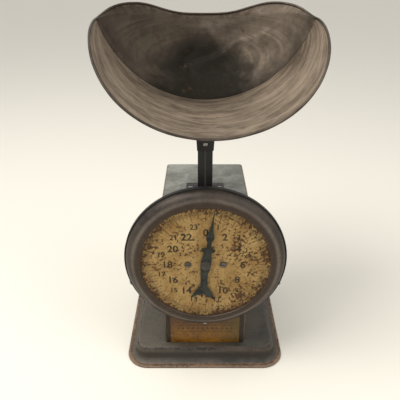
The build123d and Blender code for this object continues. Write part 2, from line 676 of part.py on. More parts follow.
def make_dial():
    radius = SIGHT_RADIUS + DIAL_LAP
    dial = rod_y(radius, DIAL_FRONT, DIAL_BACK, 0, DIAL_Z)
    dial -= rod_y(HUB_BOSS + RIVET_DOME, DIAL_FRONT - 1, DIAL_BACK + 1, 0, DIAL_Z)
    pillars = []
    screws = []
    tail = FRONT_INNER + FRAME_SHEET
    for x, z in pillar_places():
        dial -= rod_y(SCREW_RADIUS, DIAL_FRONT - 1, DIAL_BACK + 1, x, z)
        pillar = rod_y(PILLAR_RADIUS, DIAL_BACK, PAN_FACE, x, z) + rod_y(PILLAR_TAIL, PAN_FACE, tail, x, z)
        pillar += rod_y(PILLAR_HEAD, tail, tail + RIVET_DOME, x, z)
        length = DIAL_SHEET + 2 * PILLAR_RADIUS
        pillar -= rod_y(SCREW_RADIUS, DIAL_BACK - 1, DIAL_FRONT + length, x, z)
        pillars.append(pillar)
        screws.append(Pos(x, DIAL_FRONT, z) * Rot(90, 0, 0) * slotted_screw(length))
    save("dial_plate", dial)
    save("dial_pillars", *pillars)
    save("dial_screws", *screws)


# ---- pointer, shaft and gears

def pointer_outline():
    """Half-widths of the pointer from its tip to its crescent tail, mirrored about its length."""
    tip = POINTER_LENGTH
    tail = -POINTER_TAIL
    blade = [
        (0, 1), (1.5, 0.844), (2.9, 0.675), (4.4, 0.526), (2.6, 0.462),
        (2.3, 0.342), (7.6, 0.321), (7.6, 0.286), (4.4, 0.257),
    ]
    right = [(width, share * tip) for width, share in blade]
    right += [
        (5.4, 1.5 * HUB_RADIUS), (HUB_RADIUS - 0.4, 0), (4.0, -9), (3.6, tail + 15),
        (8.0, tail + 10.5), (14.0, tail), (8.5, tail + 3.6), (0, tail + 5.6),
    ]
    left = [(-w, s) for w, s in reversed(right[1:-1])]
    return make_face(Polyline(*right, *left, close=True))


def make_pointer():
    swing = Pos(0, 0, DIAL_Z) * Rot(0, POINTER_REST, 0)
    blade = prism_y(pointer_outline() - Circle(HUB_BOSS), POINTER_FRONT, POINTER_BACK)
    save("pointer", swing * blade)
    hub = rod_y(HUB_RADIUS, POINTER_FRONT - HUB_FRONT, POINTER_FRONT, 0, DIAL_Z)
    hub = fillet(hub.edges().group_by(Axis.Y)[0], 0.6)
    hub += rod_y(HUB_BOSS, POINTER_FRONT, POINTER_BACK + HUB_BACK, 0, DIAL_Z)
    front = POINTER_FRONT - HUB_FRONT + SHAFT_SETBACK
    hub -= rod_y(SHAFT_RADIUS, front, POINTER_BACK + 2, 0, DIAL_Z)
    save("pointer_hub", hub)
    back = RACK_Y + RACK_WIDTH + SHAFT_TAIL
    save("pointer_shaft", rod_y(SHAFT_RADIUS, front, back, 0, DIAL_Z))


def make_bushes():
    bore = SHAFT_RADIUS + RUNNING_GAP
    flange = rod_y(BUSH_RADIUS + BUSH_FLANGE, PAN_FACE - BUSH_FLANGE, PAN_FACE, 0, DIAL_Z)
    front = flange + rod_y(BUSH_RADIUS, PAN_FACE, FRONT_INNER + 2 * FRAME_SHEET, 0, DIAL_Z)
    save("front_bush", front - rod_y(bore, PAN_FACE - 3, FRONT_INNER + 5, 0, DIAL_Z))
    plate = RACK_Y + RACK_WIDTH + REAR_PLATE_GAP
    rear = rod_y(BUSH_RADIUS, plate - BUSH_WALL, plate, 0, DIAL_Z)
    rear += rod_y(BUSH_RADIUS - 1, plate, plate + FRAME_SHEET + BUSH_WALL, 0, DIAL_Z)
    save("rear_bush", rear - rod_y(bore, plate - 3, plate + 5, 0, DIAL_Z))


def make_shaft_bracket():
    """Front plate behind the case wall, one leg back on the left, and a plate for the rear bush."""
    half_w = PILLAR_SPACING / 2 + 2 * RIVET_HEAD
    z = (DIAL_Z - BRACKET_HALF_HEIGHT, DIAL_Z + BRACKET_HALF_HEIGHT)
    front = (FRONT_INNER, FRONT_INNER + FRAME_SHEET)
    plate = RACK_Y + RACK_WIDTH + REAR_PLATE_GAP
    leg = BRACKET_LEG_X
    bracket = block((-half_w, half_w), front, z)
    bracket += block((leg - FRAME_SHEET, leg), (FRONT_INNER, plate + FRAME_SHEET), z)
    bracket += block((leg - FRAME_SHEET, BUSH_RADIUS + 1), (plate, plate + FRAME_SHEET), z)
    bracket -= rod_y(BUSH_RADIUS, FRONT_INNER - 1, FRONT_INNER + 3, 0, DIAL_Z)
    bracket -= rod_y(BUSH_RADIUS - 1, plate - 1, plate + 3, 0, DIAL_Z)
    for x, height in pillar_places():
        bracket -= rod_y(PILLAR_TAIL, FRONT_INNER - 1, FRONT_INNER + 3, x, height)
    save("shaft_bracket", bracket)


def involute(angle):
    return tan(angle) - angle


def pinion_outline():
    """Involute teeth about the origin, with a tooth space on the +X side."""
    pressure = radians(PRESSURE_ANGLE)
    base = PITCH_RADIUS * cos(pressure)
    tip = PITCH_RADIUS + GEAR_MODULE
    root = PITCH_RADIUS - 1.25 * GEAR_MODULE
    half_tooth = (TOOTH_PITCH / 2 - BACKLASH / 2) / (2 * PITCH_RADIUS)
    steps = 5
    flank = []
    for index in range(steps):
        radius = base + (tip - base) * index / (steps - 1)
        angle = half_tooth + involute(pressure) - involute(acos(base / radius))
        flank.append((radius, angle))
    side = [(root, flank[0][1])] + flank
    tooth = [(r, -a) for r, a in side] + [(r, a) for r, a in reversed(side)]
    points = []
    for index in range(PINION_TEETH):
        centre = 2 * pi * (index + 0.5) / PINION_TEETH
        points += [(r * cos(centre + a), r * sin(centre + a)) for r, a in tooth]
    return make_face(Polyline(*points, close=True))


def rack_outline():
    """Straight-sided teeth facing the pinion, from below the shaft to past one full travel."""
    half = (TOOTH_PITCH / 2 - BACKLASH / 2) / 2
    slope = tan(radians(PRESSURE_ANGLE))
    tip = PITCH_RADIUS - GEAR_MODULE
    root = PITCH_RADIUS + 1.25 * GEAR_MODULE
    first = -RACK_SPARE_TEETH
    last = PINION_TEETH + RACK_SPARE_TEETH
    points = []
    for index in range(first, last + 1):
        centre = index * TOOTH_PITCH
        wide = half + slope * (root - PITCH_RADIUS)
        narrow = half - slope * (PITCH_RADIUS - tip)
        points += [(root, centre - wide), (tip, centre - narrow)]
        points += [(tip, centre + narrow), (root, centre + wide)]
    low = first * TOOTH_PITCH - TOOTH_PITCH
    high = rack_top()
    ends = [(root, high), (RACK_BACK, high), (RACK_BACK, low), (root, low)]
    return make_face(Polyline(*points, *ends, close=True))


def rack_top():
    """Height of the rack's top above the shaft."""
    return (PINION_TEETH + RACK_SPARE_TEETH + RACK_BLANK_TEETH) * TOOTH_PITCH


def make_gears():
    lift = Pos(0, 0, DIAL_Z)
    span = (RACK_Y - PINION_OVERHANG, RACK_Y + RACK_WIDTH + PINION_OVERHANG)
    save("pinion", lift * prism_y(pinion_outline() - Circle(SHAFT_RADIUS), *span))
    save("rack", lift * prism_y(rack_outline(), RACK_Y, RACK_Y + RACK_WIDTH))
    z = (DIAL_Z + rack_top() - RACK_ARM_HEIGHT, DIAL_Z + rack_top())
    outer = RACK_BACK + RACK_ARM
    back = POST_Y + POST_HALF_WIDTH
    bracket = block((RACK_BACK, outer), (RACK_Y, back), z)
    bracket += block((POST_HALF_WIDTH / 2, outer), (POST_Y - POST_HALF_WIDTH / 3, back), z)
    save("rack_bracket", bracket - post_solid())


# ---- scoop

def in_place(shape):
    """The scoop is made about its own middle line and then turned a little on its seat."""
    turn = Pos(0, POST_Y, 0) * Rot(0, 0, SCOOP_YAW) * Pos(0, -POST_Y, 0)
    return turn * Pos(SCOOP_OFFSET_X, 0, 0) * shape


def side_radii():
    """Half-axes of the quarter ellipse that the side rim follows."""
    return SCOOP_SEAM - SCOOP_FRONT, SIDE_RISE - LIP_STRAIGHT


def make_trough():
    """A half-round trough with its front cut to an upright lip that sweeps back up to the ears."""
    far, tall = side_radii()
    lip_z = SCOOP_FLOOR + LIP_STRAIGHT
    side_z = SCOOP_FLOOR + SIDE_RISE
    floor = SCOOP_FLOOR - 2 * SCOOP_SHEET
    outline = [
        Line((SCOOP_FRONT, floor), (SCOOP_FRONT, lip_z)),
        EllipticalCenterArc((SCOOP_SEAM, lip_z), far, tall, start_angle=90, arc_size=90),
        Line((SCOOP_SEAM, side_z), (SCOOP_SEAM, floor)),
        Line((SCOOP_SEAM, floor), (SCOOP_FRONT, floor)),
    ]
    keep = prism_x(make_face(outline), -SCOOP_OUTER - 1, SCOOP_OUTER + 1)
    span = (SCOOP_FRONT - 1, SCOOP_SEAM + 1)
    pipe = rod_y(SCOOP_OUTER, *span, 0, SCOOP_AXIS) - rod_y(SCOOP_RADIUS, *span, 0, SCOOP_AXIS)
    save("scoop_trough", in_place(pipe & keep))


def back_rim_points():
    """The rim of the back sheet seen from the front: high ears and a dip in the middle."""
    half = ear_half_width()
    rise = EAR_RISE - SIDE_RISE
    right = [
        (half, SIDE_RISE), (half * 0.915, SIDE_RISE + rise * 0.62), (half * 0.78, EAR_RISE),
        (half * 0.6, EAR_RISE - rise * 0.08), (half * 0.3, BACK_RISE + rise * 0.22), (0, BACK_RISE),
    ]
    left = [(-x, z) for x, z in reversed(right[:-1])]
    return [(x, SCOOP_FLOOR + z) for x, z in right + left]


def ear_half_width():
    drop = SCOOP_RADIUS - SIDE_RISE
    middle = SCOOP_RADIUS + SCOOP_SHEET / 2
    return sqrt(middle * middle - drop * drop)


def dome(radius, bulge):
    """Half of a flattened dome behind the seam, about the trough's own axis."""
    centre = (0, SCOOP_SEAM)
    outline = [
        Line(centre, (radius, SCOOP_SEAM)),
        EllipticalCenterArc(centre, radius, bulge, start_angle=0, arc_size=90),
        Line((0, SCOOP_SEAM + bulge), centre),
    ]
    return Pos(0, 0, SCOOP_AXIS) * revolve(make_face(outline), Axis.Y, 360)


def make_back():
    points = back_rim_points()
    half, side_z = points[0]
    wide = SCOOP_OUTER + 1
    floor = SCOOP_FLOOR - 2 * SCOOP_SHEET
    outline = [
        Spline(*points),
        Line((-half, side_z), (-wide, side_z)),
        Line((-wide, side_z), (-wide, floor)),
        Line((-wide, floor), (wide, floor)),
        Line((wide, floor), (wide, side_z)),
        Line((wide, side_z), (half, side_z)),
    ]
    keep = prism_y(make_face(outline), SCOOP_SEAM, SCOOP_SEAM + SCOOP_BULGE + 5)
    shell = dome(SCOOP_OUTER, SCOOP_BULGE + SCOOP_SHEET) - dome(SCOOP_RADIUS, SCOOP_BULGE)
    save("scoop_back", in_place(shell & keep))


def right_rim():
    """Half of the rim: from the middle of the lip back along the side and over the back sheet."""
    middle = SCOOP_RADIUS + SCOOP_SHEET / 2
    far, tall = side_radii()
    side = []
    lip_x = sqrt(middle**2 - (SCOOP_RADIUS - LIP_STRAIGHT) ** 2)
    for share in (0, 0.35, 0.7):
        x = lip_x * share
        side.append((x, SCOOP_FRONT, SCOOP_AXIS - sqrt(middle**2 - x * x)))
    steps = 14
    for index in range(steps):
        turn = pi / 2 * index / steps
        z = SCOOP_FLOOR + LIP_STRAIGHT + tall * sin(turn)
        x = sqrt(middle**2 - (SCOOP_AXIS - z) ** 2)
        side.append((x, SCOOP_SEAM - far * cos(turn), z))
    top = Spline(*back_rim_points())
    back = []
    stations = 12
    for index in range(stations + 1):
        spot = top @ (index / stations / 2)
        radius = sqrt(spot.X**2 + (SCOOP_AXIS - spot.Y) ** 2)
        reach = (SCOOP_BULGE + SCOOP_SHEET / 2) * sqrt(max(1 - (radius / middle) ** 2, 0))
        back.append((spot.X, SCOOP_SEAM + reach, spot.Y))
    return Spline(*side, *back, tangents=[(1, 0, 0), (-1, 0, 0)])


def make_rim_wire():
    path = right_rim()
    ring = Plane(origin=path @ 0, z_dir=path % 0) * Circle(WIRE_EDGE)
    right = sweep(ring, path=path)
    save("scoop_rim_wire", in_place(right + mirror(right, about=Plane.YZ)))


def make_seam_strap():
    """A thin half-hoop soldered outside the joint between the two sheets."""
    span = (SCOOP_SEAM - SEAM_STRAP, SCOOP_SEAM)
    hoop = rod_y(SCOOP_OUTER + SCOOP_SHEET, *span, 0, SCOOP_AXIS) - rod_y(SCOOP_OUTER, *span, 0, SCOOP_AXIS)
    lowest = SCOOP_FLOOR - 3 * SCOOP_SHEET
    highest = SCOOP_FLOOR + SIDE_RISE - 3 * WIRE_EDGE
    reach = SCOOP_OUTER + 2
    keep = block((-reach, reach), (span[0] - 1, span[1] + 1), (lowest, highest))
    save("scoop_seam_strap", in_place(hoop & keep))


def make_foot():
    """An upturned dish soldered under the trough: its floor rests on the seat, its skirt surrounds it."""
    inner = SEAT_RADIUS + FOOT_GAP
    outer = inner + FOOT_SHEET
    top = SCOOP_FLOOR + SCOOP_CLEAR
    ring = rod_z(outer, SEAT_TOP - FOOT_SKIRT, top) - rod_z(inner, SEAT_TOP - FOOT_SKIRT - 1, top + 1)
    ring += rod_z(outer, SEAT_TOP, SEAT_TOP + FOOT_SHEET)
    ring = Pos(0, POST_Y, 0) * ring
    trough = in_place(rod_y(SCOOP_OUTER, SCOOP_FRONT, SCOOP_SEAM, 0, SCOOP_AXIS))
    save("scoop_foot", ring - trough)


def main():
    os.makedirs("parts", exist_ok=True)
    make_base()
    make_case()
    make_case_rivets()
    make_back_cover()
    make_name_band()
    make_post()
    make_saddle()
    make_guides()
    make_frame()
    make_hanger()
    make_load_bar()
    make_springs()
    make_zero_screw()
    make_pan()
    make_bezel()
    make_dial()
    make_pointer()
    make_bushes()
    make_shaft_bracket()
    make_gears()
    make_trough()
    make_back()
    make_rim_wire()
    make_seam_strap()
    make_foot()


main()
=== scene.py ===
# %% [markdown]
# # An early dial scale with a tin scoop
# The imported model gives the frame: every moving part, its place and its size. Each step below either
# gives a plain part a finish, or puts a finer surface where a plain part was. We load the frame first,
# because every place used later is read from it.

# %% Load the frame
import json
import math
import bpy
import bmesh
import numpy as np
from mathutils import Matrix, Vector


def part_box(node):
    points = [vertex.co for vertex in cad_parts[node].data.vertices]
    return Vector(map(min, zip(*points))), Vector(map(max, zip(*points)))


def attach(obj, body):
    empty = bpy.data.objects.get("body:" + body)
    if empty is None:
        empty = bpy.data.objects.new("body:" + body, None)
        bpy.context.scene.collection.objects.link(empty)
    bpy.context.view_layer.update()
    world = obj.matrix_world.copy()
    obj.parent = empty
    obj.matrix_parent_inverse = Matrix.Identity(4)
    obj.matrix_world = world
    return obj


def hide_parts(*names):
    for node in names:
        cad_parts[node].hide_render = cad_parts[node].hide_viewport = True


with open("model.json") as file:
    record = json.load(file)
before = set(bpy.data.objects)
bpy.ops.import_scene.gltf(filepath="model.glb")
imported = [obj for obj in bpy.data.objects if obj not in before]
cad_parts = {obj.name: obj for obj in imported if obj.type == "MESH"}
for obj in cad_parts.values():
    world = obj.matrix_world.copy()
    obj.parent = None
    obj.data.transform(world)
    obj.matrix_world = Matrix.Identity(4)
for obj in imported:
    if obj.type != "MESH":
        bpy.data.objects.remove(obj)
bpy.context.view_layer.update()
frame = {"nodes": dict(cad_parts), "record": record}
nodes = frame["nodes"]

# %% [markdown]
# ## Camera
# The camera stands close to the scale and looks down on it by about 28 degrees, so the scoop is seen
# almost level and the base from well above. The field of view is a lens length on film 36 mm wide. The
# Standard view keeps the blacks black, which the default one would lift.

# %% Camera
MM = 0.001
LENS = 41.54
FILM_WIDTH = 36.0
VIEW_DOWN = 27.67
CAMERA_PLACE = (-6.3 * MM, -519.8 * MM, 466.6 * MM)


def put_in_scene(name, data):
    """An object that carries a mesh, a lamp or a camera, linked to the scene."""
    made = bpy.data.objects.new(name, data)
    bpy.context.scene.collection.objects.link(made)
    return made


camera_data = bpy.data.cameras.new("camera")
camera_data.lens = LENS
camera_data.sensor_width = FILM_WIDTH
camera = put_in_scene("camera", camera_data)
camera.location = CAMERA_PLACE
camera.rotation_euler = (math.radians(90 - VIEW_DOWN), 0, 0)
bpy.context.scene.camera = camera
bpy.context.scene.view_settings.view_transform = "Standard"
print("camera looks down by", VIEW_DOWN, "degrees")

# %% [markdown]
# A surface here is always the same thing: a grid of points worked out with numpy. One helper turns a
# grid into a mesh. It can join the last row to the first (a tube or a ring), and it merges the points
# that fall on each other at a pole, so each piece comes out closed.

# %% From a grid of points to a mesh
MERGE_WITHIN = 1e-6


def grid_faces(rows, cols, wrap_rows=False, wrap_cols=False):
    """Quads between neighbouring points of a rows by cols grid, as whole arrays of indices."""
    r = np.arange(rows if wrap_rows else rows - 1)
    c = np.arange(cols if wrap_cols else cols - 1)
    r, c = np.meshgrid(r, c, indexing="ij")
    down, across = (r + 1) % rows, (c + 1) % cols
    quads = (r * cols + c, r * cols + across, down * cols + across, down * cols + c)
    return np.stack(quads, -1).reshape(-1, 4)


def surface(name, grid, wrap_rows=False, wrap_cols=False, wear=None, flip=False, smooth=True):
    """A mesh object through a grid of points (rows, cols, 3). wear is a value for each point."""
    rows, cols = grid.shape[:2]
    faces = grid_faces(rows, cols, wrap_rows, wrap_cols)
    if flip:
        faces = faces[:, ::-1]
    mesh = bpy.data.meshes.new(name)
    mesh.from_pydata(grid.reshape(-1, 3).tolist(), [], faces.tolist())
    if wear is not None:
        layer = mesh.attributes.new("wear", "FLOAT", "POINT")
        layer.data.foreach_set("value", np.broadcast_to(wear, (rows, cols)).astype(np.float32).ravel())
    tidy_mesh(mesh)
    mesh.polygons.foreach_set("use_smooth", np.full(len(mesh.polygons), smooth))
    return put_in_scene(name, mesh)


def edit_mesh(mesh, change):
    """Open a mesh, let change work on it, and write it back."""
    shape = bmesh.new()
    shape.from_mesh(mesh)
    change(shape)
    shape.to_mesh(mesh)
    shape.free()


def tidy_mesh(mesh):
    """Merge points that lie on each other and drop faces that have no area."""
    edit_mesh(mesh, lambda shape: bmesh.ops.remove_doubles(shape, verts=shape.verts, dist=MERGE_WITHIN))
    edit_mesh(mesh, lambda shape: bmesh.ops.dissolve_degenerate(shape, edges=shape.edges, dist=MERGE_WITHIN))


def outward(piece):
    """Point every face of a closed piece outwards."""
    edit_mesh(piece.data, lambda shape: bmesh.ops.recalc_face_normals(shape, faces=shape.faces))
    return piece


def smoothstep(low, high, value):
    """0 below low, 1 above high, and an even S between."""
    share = np.clip((value - low) / (high - low), 0, 1)
    return share * share * (3 - 2 * share)


def gauss(value, width):
    """A bell of height 1 about zero."""
    return np.exp(-(value / width) ** 2)


def ripple(x, y, z, size, seed):
    """A smooth, repeatable unevenness: a few sine waves in different directions, about -1 to 1."""
    rng = np.random.default_rng(seed)
    total = np.zeros(np.broadcast(x, y, z).shape)
    waves = 7
    for _ in range(waves):
        d = rng.normal(size=3)
        d *= 2 * np.pi / (size * rng.uniform(0.7, 1.6) * np.linalg.norm(d))
        total = total + np.sin(d[0] * x + d[1] * y + d[2] * z + rng.uniform(0, 6.28))
    return total / math.sqrt(waves)

# %% [markdown]
# ## Floor and light
# The floor is plain and pale, and it lies a hair under the scale so that the two don't touch. One wide
# light from the upper left and a weaker one from the right give the soft, short shadows of a room with
# large windows, and an even pale world fills them.

# %% Floor and lights
FLOOR_SIZE = 6.0
FLOOR_DROP = 0.2 * MM
FLOOR_COLOUR = (0.77, 0.735, 0.65, 1)
LAMP_SIZE = 0.9
LAMP_AIM = (0, 0, 0.2)


def make_floor():
    """A flat square, one face, under the scale."""
    side = np.linspace(-FLOOR_SIZE, FLOOR_SIZE, 3)
    x, y = np.meshgrid(side, side, indexing="ij")
    floor = surface("floor", np.stack([x, y, np.full_like(x, -FLOOR_DROP)], -1), flip=True)
    paper = bpy.data.materials.new("table_paper")
    paper.use_nodes = True
    shader = paper.node_tree.nodes["Principled BSDF"]
    shader.inputs["Base Color"].default_value = FLOOR_COLOUR
    shader.inputs["Roughness"].default_value = 0.6
    floor.data.materials.append(paper)


def area_light(name, place, power, colour):
    """A soft square lamp at place that points at the middle of the scale."""
    data = bpy.data.lights.new(name, "AREA")
    data.size = LAMP_SIZE
    data.energy = power
    data.color = colour
    lamp = put_in_scene(name, data)
    lamp.location = place
    lamp.rotation_euler = (Vector(LAMP_AIM) - Vector(place)).to_track_quat("-Z", "Y").to_euler()


def make_world(colour, strength):
    """An even pale room all round."""
    world = bpy.data.worlds.new("room")
    world.use_nodes = True
    background = world.node_tree.nodes["Background"]
    background.inputs["Color"].default_value = (*colour, 1)
    background.inputs["Strength"].default_value = strength
    bpy.context.scene.world = world


make_floor()
area_light("key", place=(-0.7, -0.35, 1.5), power=21, colour=(1.0, 0.985, 0.96))
area_light("fill", place=(1.1, -0.7, 1.1), power=7, colour=(1.0, 0.99, 0.97))
make_world(colour=(0.97, 0.965, 0.95), strength=0.76)
print("two soft lamps and a pale floor")

# %% [markdown]
# ## How the finishes are built
# Old painted steel is never one colour. It has cloudy discolouring, freckles of rust, fine scratches
# and bright metal where hands and cloths have rubbed. Each of these is one small node group that puts
# out only a mask or a value, so every material can use it with its own scale and strength. The shader
# itself always stays in the material.

# %% Small helpers for node trees
def add(tree, kind, **settings):
    """A node with its settings. Inputs are set later by name or number."""
    made = tree.nodes.new(kind)
    for key, value in settings.items():
        setattr(made, key, value)
    return made


def feed(tree, socket, value):
    """Link an output to a socket, or set the socket to a plain value."""
    if isinstance(value, bpy.types.NodeSocket):
        tree.links.new(value, socket)
    else:
        socket.default_value = value


def maths(tree, operation, a, b=0.0):
    """One Math node. a and b are outputs or numbers."""
    made = add(tree, "ShaderNodeMath", operation=operation)
    feed(tree, made.inputs[0], a)
    feed(tree, made.inputs[1], b)
    return made.outputs[0]


def band(tree, value, low, high, out_low=0.0, out_high=1.0):
    """Stretch the part of value between low and high over a new range, with soft ends."""
    made = add(tree, "ShaderNodeMapRange", interpolation_type="SMOOTHSTEP", clamp=True)
    for socket, number in zip(made.inputs, (value, low, high, out_low, out_high)):
        feed(tree, socket, number)
    return made.outputs[0]


def with_alpha(value):
    """A colour written as three numbers gets the fourth that its socket wants. An output stays."""
    return (*value, 1) if isinstance(value, tuple) else value


def blend_colour(tree, share, first, second):
    """One Mix node for colours."""
    made = add(tree, "ShaderNodeMix", data_type="RGBA")
    # the two colours of a Mix node are its inputs 6 and 7, and output 2 is the result
    sockets = (made.inputs["Factor"], made.inputs[6], made.inputs[7])
    for socket, value in zip(sockets, (share, first, second)):
        feed(tree, socket, with_alpha(value))
    return made.outputs[2]


def darker(colour, share):
    """The same colour at a share of its strength."""
    return tuple(share * part for part in colour)


def noise(tree, where, scale, detail=4.0, roughness=0.55, distortion=0.0):
    """A Noise texture's value at the given coordinates."""
    made = add(tree, "ShaderNodeTexNoise")
    settings = {"Vector": where, "Scale": scale, "Detail": detail,
                "Roughness": roughness, "Distortion": distortion}
    for key, value in settings.items():
        feed(tree, made.inputs[key], value)
    return made.outputs[0]


def new_group(name, inputs, outputs):
    """An empty node group with float inputs, a vector called Where, and the named float outputs."""
    tree = bpy.data.node_groups.new(name, "ShaderNodeTree")
    tree.interface.new_socket("Where", in_out="INPUT", socket_type="NodeSocketVector")
    for label, value in inputs.items():
        made = tree.interface.new_socket(label, in_out="INPUT", socket_type="NodeSocketFloat")
        made.default_value = value
    for label in outputs:
        tree.interface.new_socket(label, in_out="OUTPUT", socket_type="NodeSocketFloat")
    source = add(tree, "NodeGroupInput")
    sink = add(tree, "NodeGroupOutput")
    return tree, source.outputs, sink.inputs

# %% [markdown]
# **Clouds** mixes two sizes of noise. It is used for faded enamel, tarnish and dirt. **Freckles** keeps
# only the tops of a fine noise, broken up by a coarse one, which gives the clustered specks of rust
# that come through thin paint. **Brushed** is noise stretched along one direction, for rubbed metal.
# **Rubbed** takes the wear value stored on a piece and breaks its edge up, so bare metal shows in
# patches and not as a neat line.

# %% Shared effects
def group_clouds():
    """Seven parts of coarse noise and three of fine, stretched about the middle by the contrast."""
    tree, got, put = new_group("clouds", {"Scale": 20.0, "Contrast": 0.3}, ["Mask"])
    coarse = noise(tree, got["Where"], got["Scale"], 5.0, 0.6, 0.4)
    fine = noise(tree, got["Where"], maths(tree, "MULTIPLY", got["Scale"], 5.3), 4.0, 0.6)
    both = maths(tree, "ADD", maths(tree, "MULTIPLY", coarse, 0.7), maths(tree, "MULTIPLY", fine, 0.3))
    low = maths(tree, "SUBTRACT", 0.5, got["Contrast"])
    high = maths(tree, "ADD", 0.5, got["Contrast"])
    feed(tree, put["Mask"], band(tree, both, low, high))
    return tree


def group_freckles():
    """The tops of a fine noise, lifted or sunk by a coarse one. A larger amount lowers the cut."""
    tree, got, put = new_group("freckles", {"Scale": 400.0, "Amount": 0.5}, ["Mask"])
    specks = noise(tree, got["Where"], got["Scale"], 3.0, 0.65, 0.2)
    coarse = noise(tree, got["Where"], maths(tree, "MULTIPLY", got["Scale"], 0.16), 3.0, 0.6)
    lift = maths(tree, "MULTIPLY", maths(tree, "SUBTRACT", coarse, 0.5), 0.55)
    total = maths(tree, "ADD", specks, lift)
    edge = maths(tree, "SUBTRACT", 0.78, maths(tree, "MULTIPLY", got["Amount"], 0.34))
    feed(tree, put["Mask"], band(tree, total, edge, maths(tree, "ADD", edge, 0.10)))
    return tree


def group_brushed():
    """Noise whose second and third directions are squeezed, so its grain runs along the first."""
    tree, got, put = new_group("brushed", {"Scale": 60.0, "Stretch": 14.0}, ["Value"])
    squeeze = add(tree, "ShaderNodeVectorMath", operation="MULTIPLY")
    across = add(tree, "ShaderNodeCombineXYZ")
    for socket, value in zip(across.inputs, (1.0, got["Stretch"], got["Stretch"])):
        feed(tree, socket, value)
    feed(tree, squeeze.inputs[0], got["Where"])
    feed(tree, squeeze.inputs[1], across.outputs[0])
    feed(tree, put["Value"], noise(tree, squeeze.outputs[0], got["Scale"], 5.0, 0.62))
    return tree


def group_rubbed():
    """The stored wear with noise added, cut where the sum passes one less the spread."""
    tree, got, put = new_group("rubbed", {"Wear": 0.0, "Scale": 300.0, "Spread": 0.5}, ["Mask"])
    rough = noise(tree, got["Where"], got["Scale"], 5.0, 0.68)
    uneven = maths(tree, "MULTIPLY", maths(tree, "SUBTRACT", rough, 0.5), 1.5)
    broken = maths(tree, "ADD", got["Wear"], uneven)
    edge = maths(tree, "SUBTRACT", 1.0, got["Spread"])
    feed(tree, put["Mask"], band(tree, broken, edge, maths(tree, "ADD", edge, 0.16)))
    return tree


GROUPS = {
    "clouds": group_clouds(),
    "freckles": group_freckles(),
    "brushed": group_brushed(),
    "rubbed": group_rubbed(),
}
print("shared effects:", ", ".join(GROUPS))

# %% Start a material
class Finish:
    """A material under construction: its tree, its shader and the place coordinates."""

    def __init__(self, name, roughness=0.5, metallic=0.0):
        self.material = bpy.data.materials.new(name)
        self.material.use_nodes = True
        self.tree = self.material.node_tree
        self.shader = self.tree.nodes["Principled BSDF"]
        self.shader.inputs["Roughness"].default_value = roughness
        self.shader.inputs["Metallic"].default_value = metallic
        self.where = add(self.tree, "ShaderNodeTexCoord").outputs["Object"]

    def effect(self, group, where=None, **values):
        """One of the shared effects, with its own values."""
        made = add(self.tree, "ShaderNodeGroup", node_tree=GROUPS[group])
        feed(self.tree, made.inputs["Where"], self.where if where is None else where)
        for label, value in values.items():
            feed(self.tree, made.inputs[label], value)
        return made.outputs[0]

    def attribute(self, name):
        """A value stored on the piece's points."""
        made = add(self.tree, "ShaderNodeAttribute", attribute_name=name)
        return made.outputs["Fac"]

    def axis(self, letter):
        """One of the place coordinates."""
        made = add(self.tree, "ShaderNodeSeparateXYZ")
        feed(self.tree, made.inputs[0], self.where)
        return made.outputs[letter]

    def mix(self, share, first, second):
        return blend_colour(self.tree, share, first, second)

    def veil(self, colour, over, mask, strength):
        """Lay one colour over another where a mask says, at part strength."""
        return self.mix(self.times(mask, strength), colour, over)

    def band(self, value, low, high, out_low=0.0, out_high=1.0):
        return band(self.tree, value, low, high, out_low, out_high)

    def fade(self, value, full, gone):
        """1 up to full and 0 from gone on, with soft ends."""
        return self.band(value, full, gone, 1.0, 0.0)

    def between(self, value, start, full, fading, gone):
        """1 between full and fading, and 0 before start and after gone."""
        return self.times(self.band(value, start, full), self.fade(value, fading, gone))

    def maths(self, operation, a, b=0.0):
        return maths(self.tree, operation, a, b)

    def times(self, a, b):
        return self.maths("MULTIPLY", a, b)

    def plus(self, a, b):
        return self.maths("ADD", a, b)

    def minus(self, a, b):
        return self.maths("SUBTRACT", a, b)

    def size_of(self, a):
        """A value without its sign."""
        return self.maths("ABSOLUTE", a)

    def distance(self, across, up):
        """How far a place is from a centre: the root of the two squares added."""
        return self.maths("SQRT", self.plus(self.times(across, across), self.times(up, up)))

    def set(self, **sockets):
        """Feed the shader's own sockets. Underscores in the names stand for spaces."""
        for label, value in sockets.items():
            socket = self.shader.inputs[label.replace("_", " ")]
            feed(self.tree, socket, with_alpha(value))

    def shine(self, level):
        """How strongly the clear part of the surface mirrors the room. Old dull enamel mirrors little."""
        self.shader.inputs["Specular IOR Level"].default_value = level

    def bump(self, height, strength, depth):
        """Turn a height into a normal. depth is in metres."""
        made = add(self.tree, "ShaderNodeBump")
        made.inputs["Strength"].default_value = strength
        made.inputs["Distance"].default_value = depth
        feed(self.tree, made.inputs["Height"], height)
        feed(self.tree, self.shader.inputs["Normal"], made.outputs[0])

# %% [markdown]
# ## Worn enamel
# Black japan fades in clouds and lets rust through. One function makes the even members of the family,
# which are the pointer, its hub and the pan: a base colour, a faded colour in clouds, rust freckles,
# and bare brown steel where the stored wear says the edge is rubbed. The base, the case and the post
# change from place to place, so each has a function of its own further on.

